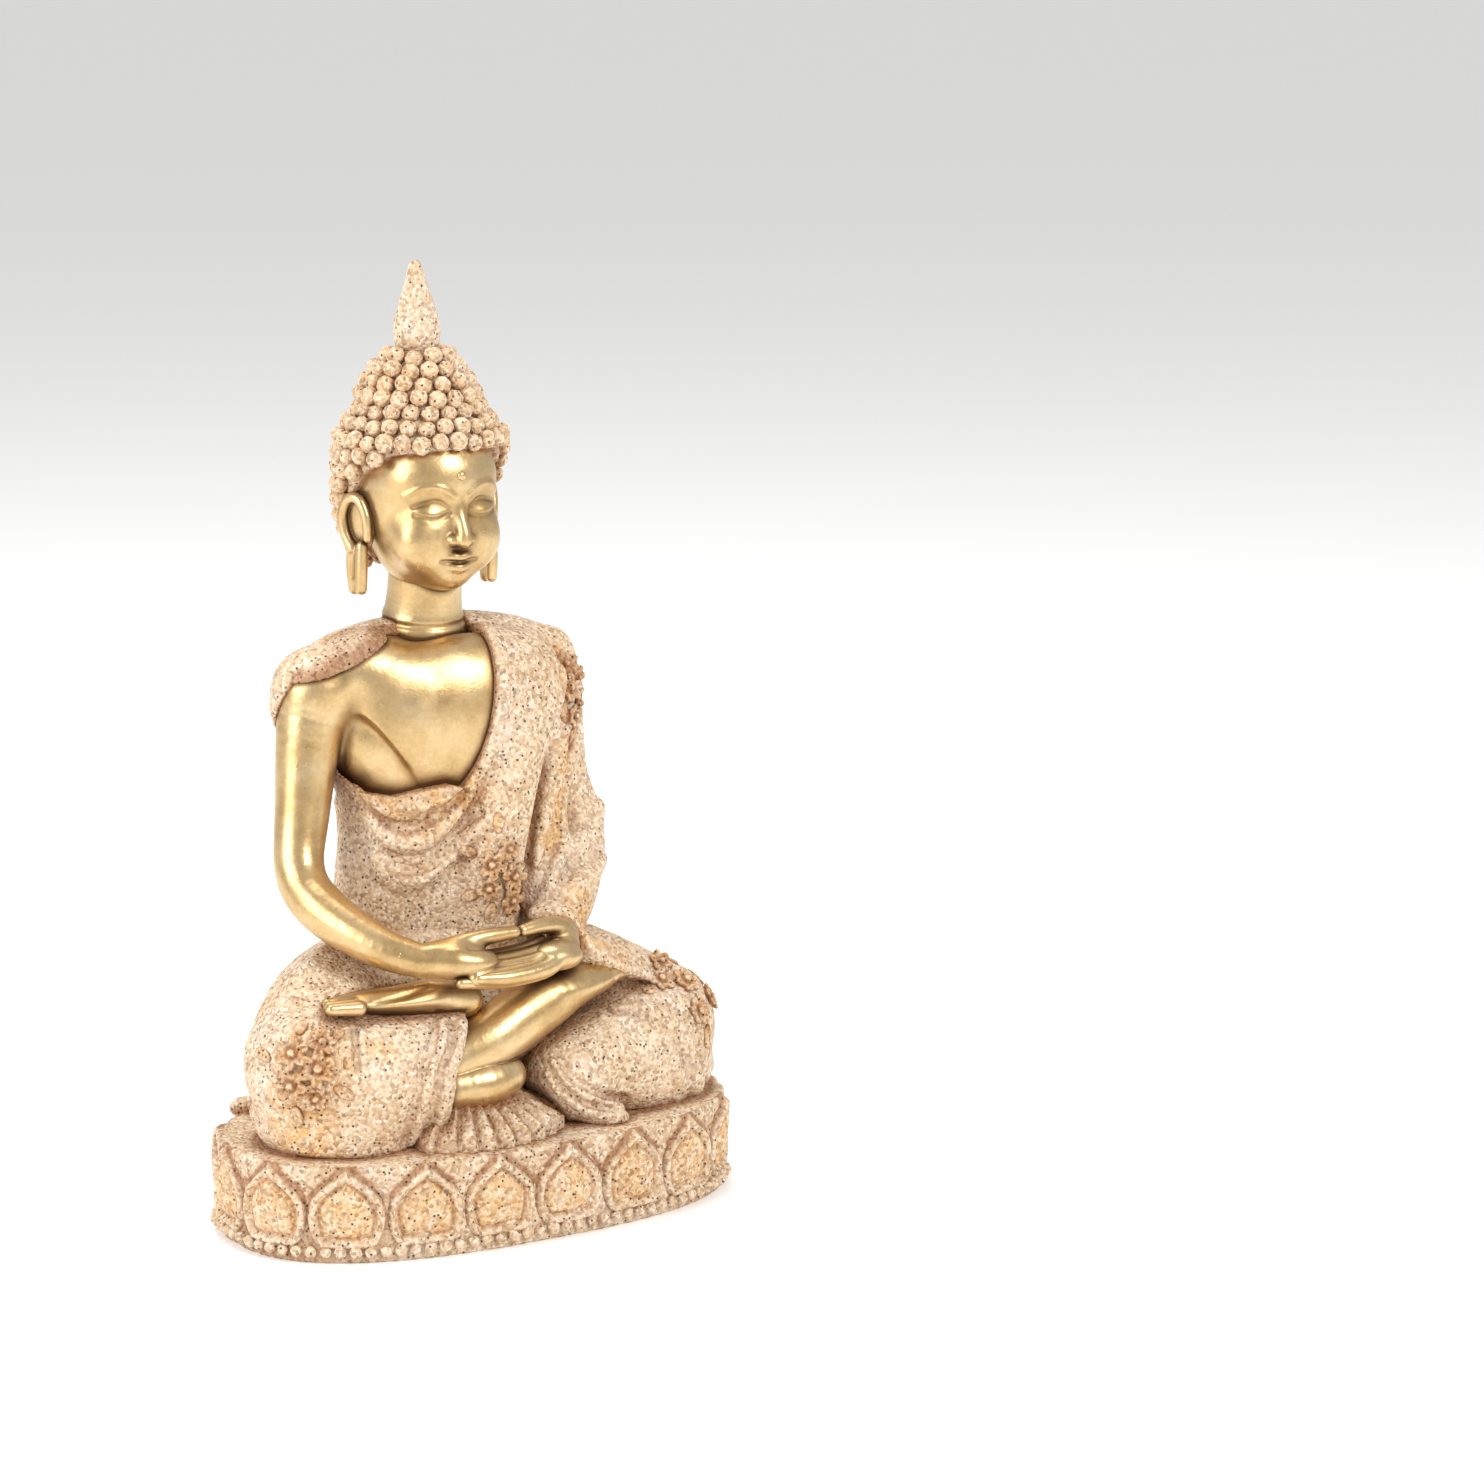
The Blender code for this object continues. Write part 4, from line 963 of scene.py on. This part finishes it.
# %% Lay one shape on every point of a guide
def repeater(shape, finish):
    """A node tree that puts the shape on each guide point, turned to the point's own direction."""
    tree = bpy.data.node_groups.new("repeat_" + shape.name, "GeometryNodeTree")
    side = tree.interface.new_socket
    side("Guide", in_out="INPUT", socket_type="NodeSocketGeometry")
    size_in = side("Size", in_out="INPUT", socket_type="NodeSocketFloat")
    vary_in = side("Variation", in_out="INPUT", socket_type="NodeSocketFloat")
    lump_in = side("Lumps", in_out="INPUT", socket_type="NodeSocketFloat")
    side("Pieces", in_out="OUTPUT", socket_type="NodeSocketGeometry")
    add, link = tree.nodes.new, tree.links.new
    start, end = add("NodeGroupInput"), add("NodeGroupOutput")
    info = add("GeometryNodeObjectInfo")
    info.inputs["Object"].default_value = shape
    out = node(tree, "GeometryNodeInputNamedAttribute", data_type="FLOAT_VECTOR", Name="out")
    turn = add("FunctionNodeAlignRotationToVector")
    turn.axis = "Z"
    link(out.outputs[0], turn.inputs["Vector"])
    chance = node(tree, "FunctionNodeRandomValue", data_type="FLOAT", Seed=7)
    spread = add("ShaderNodeMath")
    spread.operation = "SUBTRACT"
    spread.inputs[0].default_value = 1.0
    link(start.outputs["Variation"], spread.inputs[1])
    link(spread.outputs[0], chance.inputs[2])
    chance.inputs[3].default_value = 1.0
    scale = add("ShaderNodeMath")
    scale.operation = "MULTIPLY"
    link(chance.outputs[1], scale.inputs[0])
    link(start.outputs["Size"], scale.inputs[1])
    lay = add("GeometryNodeInstanceOnPoints")
    link(start.outputs["Guide"], lay.inputs["Points"])
    link(info.outputs["Geometry"], lay.inputs["Instance"])
    link(turn.outputs["Rotation"], lay.inputs["Rotation"])
    link(scale.outputs[0], lay.inputs["Scale"])
    real = add("GeometryNodeRealizeInstances")
    link(lay.outputs["Instances"], real.inputs["Geometry"])
    lumps = node(tree, "ShaderNodeTexNoise", Scale=900.0, Detail=1.0)
    place = add("GeometryNodeInputPosition")
    link(place.outputs[0], lumps.inputs["Vector"])
    centre = node(tree, "ShaderNodeVectorMath", operation="SUBTRACT")
    link(lumps.outputs["Color"], centre.inputs[0])
    centre.inputs[1].default_value = (0.5, 0.5, 0.5)
    amount = node(tree, "ShaderNodeVectorMath", operation="SCALE")
    link(centre.outputs[0], amount.inputs[0])
    link(start.outputs["Lumps"], amount.inputs["Scale"])
    push = add("GeometryNodeSetPosition")
    link(real.outputs[0], push.inputs["Geometry"])
    link(amount.outputs[0], push.inputs["Offset"])
    paint = add("GeometryNodeSetMaterial")
    paint.inputs["Material"].default_value = SHADE[finish]
    link(push.outputs[0], paint.inputs["Geometry"])
    link(paint.outputs[0], end.inputs["Pieces"])
    return tree, (size_in.identifier, vary_in.identifier, lump_in.identifier)


def repeat(name, guide_points, directions, shape, size, variation, lumps, finish):
    """The mesh of the shape laid on all the points, in metres."""
    guide_mesh = bpy.data.meshes.new(name + "_guide")
    guide_mesh.from_pydata([tuple(p) for p in guide_points], [], [])
    way = guide_mesh.attributes.new("out", "FLOAT_VECTOR", "POINT")
    way.data.foreach_set("vector", np.array(directions, np.float32).ravel())
    guide = placed(name + "_guide", guide_mesh)
    tree, sockets = repeater(shape, finish)
    layer = guide.modifiers.new("repeat", "NODES")
    layer.node_group = tree
    for socket, value in zip(sockets, (size, variation, lumps)):
        layer[socket] = value
    bpy.context.view_layer.update()
    graph = bpy.context.evaluated_depsgraph_get()
    mesh = bpy.data.meshes.new_from_object(guide.evaluated_get(graph))
    mesh.name = name
    bpy.data.objects.remove(guide, do_unlink=True)
    return mesh


def seed_shape(name, build):
    mesh = bpy.data.meshes.new(name)
    bm = bmesh.new()
    build(bm)
    bm.to_mesh(mesh)
    bm.free()
    return placed(name, mesh)


def knob(bm):
    bmesh.ops.create_icosphere(bm, subdivisions=2, radius=1.0)


curl = seed_shape("curl_seed", knob)

# %% [markdown]
# The hair is a cap set with round curls in close rows. The rows follow the head's outline, each row half a curl
# out of step with the one below, and they stop at the forehead and in front of the ears.

# %% Model the hair
HAIR = ((101.5, 19.6, 6.6, 5.0), (104.0, 18.6, 9.2, 7.2), (107.2, 17.4, 11.6, 9.6), (111.0, 16.2, 13.0, 11.4),
        (115.0, 15.2, 13.6, 12.4), (119.0, 14.8, 13.8, 12.8), (122.4, 14.8, 13.4, 12.5), (124.6, 15.0, 11.6, 11.2),
        (126.6, 15.2, 9.9, 9.6), (129.4, 15.3, 9.2, 9.0), (132.0, 15.4, 7.6, 7.4), (134.4, 15.5, 5.6, 5.6),
            (135.6, 15.5, 4.4, 4.4))  # fmt: skip
levels = np.array(HAIR)
CURL_STEP = 3.0


def hair_outline(z):
    return [np.interp(z, levels[:, 0], levels[:, k]) for k in (1, 2, 3)]


def hair_shape(inset):
    def away(p):
        y, wide, deep = hair_outline(p[:, 2])
        wide, deep = np.maximum(wide - inset, 0.5), np.maximum(deep - inset, 0.5)
        k = np.hypot(p[:, 0] / wide, (p[:, 1] - y) / deep)
        flat = np.maximum(p[:, 2] - levels[-1, 0] - 0.2, levels[0, 0] - p[:, 2])
        return np.maximum((k - 1) * np.minimum(wide, deep) * 0.9, flat)

    return np.array((-14.0, 0, 101)), np.array((14.0, 29, 138)), away


def face_side(p):
    """Positive on the face's side of the hairline."""
    y, z = p[:, 1], p[:, 2]
    side = np.interp(z, (100, 104, 112, 117, 120.4, 122.2), (19.4, 18.6, 16.8, 12.6, 7.5, -6))
    return side - y


hair = Clay()
hair.add(hair_shape(1.1))
hair_cap = hair.copy().keep(face_side).keep(lambda p: p[:, 2] - 128.6)
mound = hair.copy().keep(lambda p: 128.2 - p[:, 2])

rows = {"hair_cap": ([], []), "ushnisha": ([], [])}
for k, z in enumerate((102.6, 105.1, 107.6, 110.1, 112.6, 115.1, 117.6, 120.0, 122.3, 124.5, 126.7, 128.9, 131.0,
    133.0, 134.9)):
    y, wide, deep = hair_outline(z)
    round_about = pi * (3 * (wide + deep) - np.sqrt((3 * wide + deep) * (wide + 3 * deep)))
    count = int(round_about / CURL_STEP)
    for i in range(count):
        turn = 2 * pi * (i + 0.5 * (k % 2)) / count
        lift = 0.25 * sin(i * 2.4 + k)
        spot = np.array((wide * sin(turn) * 0.97, y - deep * cos(turn) * 0.97, z + lift))
        if z < 128 and face_side(spot[None])[0] > -0.4:
            continue
        out = np.array((sin(turn) / wide, -cos(turn) / deep, 0.045 if z < 124 else 0.09))
        name = "ushnisha" if z > 128 else "hair_cap"
        rows[name][0].append((spot + SHIFT) * MM)
        rows[name][1].append(out / np.linalg.norm(out))


def with_curls(piece, name):
    """Joins the curl rows to the cap piece."""
    points, ways = rows[name]
    mesh = repeat(name + "_curls", points, ways, curl, 1.62 * MM, 0.14, 0.6 * MM, "sandstone")
    p = corners_of(mesh) / MM - SHIFT
    # Painted shade at the foot of each curl, darker the closer it sits to the cap.
    depth = hair.at(p)
    mark(mesh, "hollow", np.clip(0.66 - depth * 0.46, 0, 0.85))
    mark(mesh, "gilt", np.full(len(p), 0.35))
    bm = bmesh.new()
    bm.from_mesh(piece.data)
    bm.from_mesh(mesh)
    bm.to_mesh(piece.data)
    bm.free()
    piece.data.polygons.foreach_set("use_smooth", np.ones(len(piece.data.polygons), bool))
    print(name, "with", len(points), "curls")


with_curls(cast("hair_cap", hair_cap, (-14, 0, 100), (14, 29, 130), 0.4, "sandstone", ["hair_cap"], (head,)),
    "hair_cap")
with_curls(cast("ushnisha", mound, (-12, 3, 127), (12, 28, 137), 0.4, "sandstone", ["ushnisha"]), "ushnisha")

finial = Clay()
finial.add(strand([(0, 15.5, 135.2), (0, 15.6, 138.6), (0, 15.7, 142.6), (0, 15.8, 146.4), (0, 15.9, 148.8)],
    [2.7, 3.75, 2.8, 1.7, 1.05]))
finial.keep(lambda p: 134.5 - p[:, 2])
cast("finial", finial, (-6, 10, 134), (5, 22, 151), 0.24, "sandstone", ["finial"], (mound,))

# %% [markdown]
# ## The lotus base
# The wall carries a row of pointed petals with raised rims, and a string of beads along the foot. The petals are
# first laid out as a straight strip, one tile after another, then the strip is wrapped round the oval.

# %% Model the base
PETALS, BEADS = 18, 96
PETAL_START = 0.25 / PETALS
HALF_LONG, HALF_DEEP, ROUND = 44.0, 25.5, 2.5
WALL_INSET, BEAD_INSET = 1.6, 1.0


def oval(inset, count):
    """Evenly spaced points along the base's outline, and the directions out of it."""
    turn = np.linspace(0, 2 * pi, 4001)
    c, s = np.cos(turn), np.sin(turn)
    reach = (np.abs(c / (HALF_LONG - inset)) ** ROUND + np.abs(s / (HALF_DEEP - inset)) ** ROUND) ** (-1 / ROUND)
    line = np.stack([reach * c, reach * s], 1)
    along = np.concatenate([[0], np.cumsum(np.linalg.norm(np.diff(line, axis=0), axis=1))])
    wanted = np.asarray(count) * along[-1] if np.ndim(count) else np.arange(count) / count * along[-1]
    spots = np.stack([np.interp(wanted, along, line[:, k]) for k in (0, 1)], 1)
    step = 0.3
    ahead = np.stack([np.interp((wanted + step) % along[-1], along, line[:, k]) for k in (0, 1)], 1)
    behind = np.stack([np.interp((wanted - step) % along[-1], along, line[:, k]) for k in (0, 1)], 1)
    way = ahead - behind
    way /= np.linalg.norm(way, axis=1)[:, None]
    return spots, np.stack([way[:, 1], -way[:, 0]], 1), along[-1]


_, _, ROUND_ABOUT = oval(WALL_INSET, 10)
TILE = ROUND_ABOUT / PETALS
WALL_LOW, WALL_HIGH = 0.25, 15.3
RIPPLES = (31, 74)  # whole numbers, so that the wall meets itself where the strip ends


def petal_relief(u, v):
    """How far the wall stands out, at u across a tile from -1 to 1 and v up the wall from 0 to 1, and the
    distance in from the petal's edge in millimetres."""
    low, high = 0.15, 0.995
    t = np.clip((v - low) / (high - low), 0, 1)
    half = np.interp(t, (0, 0.06, 0.15, 0.27, 0.40, 0.52, 0.62, 0.71, 0.79, 0.86, 0.92, 0.96, 1.0),
                     (0.66, 0.80, 0.90, 0.965, 0.985, 0.95, 0.86, 0.70, 0.50, 0.31, 0.16, 0.08, 0.03))  # fmt: skip
    steep = np.interp(t, (0, 0.5, 0.75, 1.0), (1.0, 1.0, 0.72, 0.60))
    edge = (half - np.abs(u)) * TILE / 2 * steep
    edge = np.minimum(edge, (v - low) * 15.0 + 0.2)
    body = 1 / (1 + np.exp(-(edge - 0.05) * 9))
    rim = np.exp(-(((edge - 0.7) / 0.55) ** 2))
    furrow = np.exp(-(((edge - 1.75) / 0.45) ** 2))
    field = np.clip((edge - 1.6) / 2.6, 0, 1)
    return body * (0.50 + 0.70 * rim - 0.30 * furrow + 0.70 * field**0.7), edge


def tile(bm):
    """One petal's tile of the wall, flat in XZ, its relief towards -Y."""
    across, up = 52, 50
    rows_of = []
    for j in range(up + 1):
        v = j / up
        line = []
        for i in range(across + 1):
            u = 2 * i / across - 1
            relief, _ = petal_relief(np.array(u), np.array(v))
            line.append(bm.verts.new((u * TILE / 2, -float(relief), WALL_LOW + v * (WALL_HIGH - WALL_LOW))))
        rows_of.append(line)
    for low, high in zip(rows_of, rows_of[1:]):
        for i in range(across):
            bm.faces.new((low[i], low[i + 1], high[i + 1], high[i]))


petal_tile = seed_shape("petal_tile", tile)
strip = repeat(
    "petal_band", [((k + 0.5) * TILE, 0, 0) for k in range(PETALS)], [(0, 0, 1)] * PETALS, petal_tile, 1.0, 0.0, 0.0,
        "sandstone"
)
flat = corners_of(strip)
share = (flat[:, 0] / ROUND_ABOUT) % 1.0
share[flat[:, 0] > ROUND_ABOUT - 1e-4] = 1.0
spots, ways, _ = oval(WALL_INSET, (share + PETAL_START) % 1.0)
rise = flat[:, 2] / BASE_TOP
flare = 0.75 * rise**2 - 0.15
stand = -flat[:, 1] + flare
edge_soft = np.clip((WALL_HIGH - flat[:, 2]) / 0.8, 0, 1)
stand -= (1 - edge_soft) ** 2 * 0.5
wobble = 0.10 * np.sin(share * RIPPLES[0] * 2 * pi) + 0.07 * np.sin(share * RIPPLES[1] * 2 * pi + flat[:, 2])
wrapped = np.column_stack([spots + ways * (stand + wobble)[:, None], flat[:, 2] + wobble * 0.6 * rise])
strip.vertices.foreach_set("co", ((wrapped + SHIFT) * MM).ravel())
bm = bmesh.new()
bm.from_mesh(strip)
bmesh.ops.remove_doubles(bm, verts=bm.verts, dist=2e-6)
bmesh.ops.recalc_face_normals(bm, faces=bm.faces[:])
lowest = [e for e in bm.edges if e.is_boundary and e.verts[0].co.z < 0.002 and e.verts[1].co.z < 0.002]
highest = [e for e in bm.edges if e.is_boundary and e.verts[0].co.z > 0.01 and e.verts[1].co.z > 0.01]
for ring, level, inset in ((lowest, 0.0003, 0.94), (highest, 0.0150, 0.93)):
    made = bmesh.ops.extrude_edge_only(bm, edges=ring)
    for v in [g for g in made["geom"] if isinstance(g, bmesh.types.BMVert)]:
        v.co.x *= inset
        v.co.y = (v.co.y + 0.001) * inset - 0.001
        v.co.z = level
bmesh.ops.recalc_face_normals(bm, faces=bm.faces[:])
bm.to_mesh(strip)
bm.free()
here = corners_of(strip) / MM - SHIFT
around_it, _, _ = oval(WALL_INSET, np.linspace(0, 1, 4001))
parts = np.array_split(here[:, None, :2], 100)
nearest = np.concatenate([((around_it - part) ** 2).sum(2).argmin(1) for part in parts]) / 4000
_, edge = petal_relief(((nearest - PETAL_START) * PETALS) % 1.0 * 2 - 1,
    (here[:, 2] - WALL_LOW) / (WALL_HIGH - WALL_LOW))
# Painted shade along the petals' outlines, in the furrow inside their rims and on the wall between them.
crevice = 0.62 * np.exp(-(((edge + 0.35) / 0.5) ** 2)) + 0.36 * np.exp(-(((edge - 1.75) / 0.4) ** 2))
mark(strip, "hollow", np.clip(crevice + 0.12 * (edge < 0), 0, 0.8))
mark(strip, "gilt", 0.75 * np.clip((edge - 0.9) / 0.9, 0, 1))
dress("petal_band", strip, "sandstone", ["petal_band"])

slab = Clay()


def slab_shape(p):
    wide = (np.abs(p[:, 0] / 42.6) ** ROUND + np.abs(p[:, 1] / 24.1) ** ROUND) ** (1 / ROUND)
    side = (wide - 1) * 24.1
    top = p[:, 2] - BASE_TOP + 0.12 * np.sin(p[:, 0] * 0.5) * np.sin(p[:, 1] * 0.6 + 1)
    return -melt(-np.maximum(side, -p[:, 2] + 0.02), -top, 0.8)


slab.add((np.array((-44.0, -26, 0)), np.array((44.0, 26, 16)), slab_shape))
slab.add(egg((-31.6, 18.6, 16.2), (2.6, 1.6, 1.7)), 0.6)
slab.keep(lambda p: -p[:, 2])
cast("lotus_base", slab, (-45, -27, -0.6), (45, 27, 21), 0.5, "sandstone", ["lotus_base"],
    (right_leg, left_leg, fan, seat))

spots, ways, _ = oval(BEAD_INSET, BEADS)
bead_spots = np.column_stack([spots, np.full(BEADS, 1.9)])
bead_ways = np.column_stack([ways, np.zeros(BEADS)])
beads = repeat("bead_band", (bead_spots + SHIFT) * MM, bead_ways, curl, 1.1 * MM, 0.22, 0.7 * MM, "sandstone")
mark(beads, "hollow", np.zeros(len(beads.vertices)))
dress("bead_band", beads, "sandstone", ["bead_band"])
for seed in (curl, petal_tile):
    bpy.data.objects.remove(seed, do_unlink=True)

# %% [markdown]
# ## The picture
# The figure stands on a plain pale floor in soft light. The camera looks slightly down at its right front.

# %% Set the floor, the lights and the camera
floor_mesh = bpy.data.meshes.new("floor")
floor_mesh.from_pydata([(-60, -60, 0), (60, -60, 0), (60, 60, 0), (-60, 60, 0)], [], [(0, 1, 2, 3)])
floor = placed("floor", floor_mesh)
paper = bpy.data.materials.new("paper")
paper.use_nodes = True
surface = paper.node_tree.nodes["Principled BSDF"].inputs
surface["Base Color"].default_value = (0.86, 0.86, 0.85, 1)
surface["Roughness"].default_value = 0.9
surface["Emission Color"].default_value = (1.0, 1.0, 1.0, 1)
surface["Emission Strength"].default_value = 0.2
floor_mesh.materials.append(paper)

world = bpy.data.worlds.new("studio")
world.use_nodes = True
tree = world.node_tree
seen = tree.nodes.new("ShaderNodeLightPath")
strength = tree.nodes.new("ShaderNodeMapRange")
strength.inputs["To Min"].default_value = 0.55
strength.inputs["To Max"].default_value = 0.95
tree.links.new(seen.outputs["Is Camera Ray"], strength.inputs["Value"])
tree.links.new(strength.outputs["Result"], tree.nodes["Background"].inputs["Strength"])
tree.nodes["Background"].inputs["Color"].default_value = (1.0, 1.0, 1.0, 1)
bpy.context.scene.world = world
bpy.context.scene.view_settings.view_transform = "Standard"


def lamp(name, place, target, size, power):
    light = bpy.data.lights.new(name, "AREA")
    light.shape = "RECTANGLE"
    light.size, light.size_y = size
    light.energy = power
    thing = placed(name, light)
    thing.location = place
    thing.rotation_euler = (Vector(target) - Vector(place)).to_track_quat("-Z", "Y").to_euler()


lamp("key", (0.25, -0.75, 0.65), (0, 0, 0.08), (0.4, 0.4), 5)
lamp("side", (-0.75, -0.05, 0.40), (0, 0, 0.08), (0.5, 0.6), 4)
lamp("top", (0.0, 0.25, 0.9), (0, 0, 0.05), (0.6, 0.4), 4)

eye = bpy.data.cameras.new("camera")
eye.sensor_width = 36
eye.lens = 107.8
camera = placed("camera", eye)
camera.location = (-0.3384, -0.6006, 0.2088)
aim = Vector((0.0359, -0.0243, 0.0752))
camera.rotation_euler = (aim - camera.location).to_track_quat("-Z", "Y").to_euler()
bpy.context.scene.camera = camera
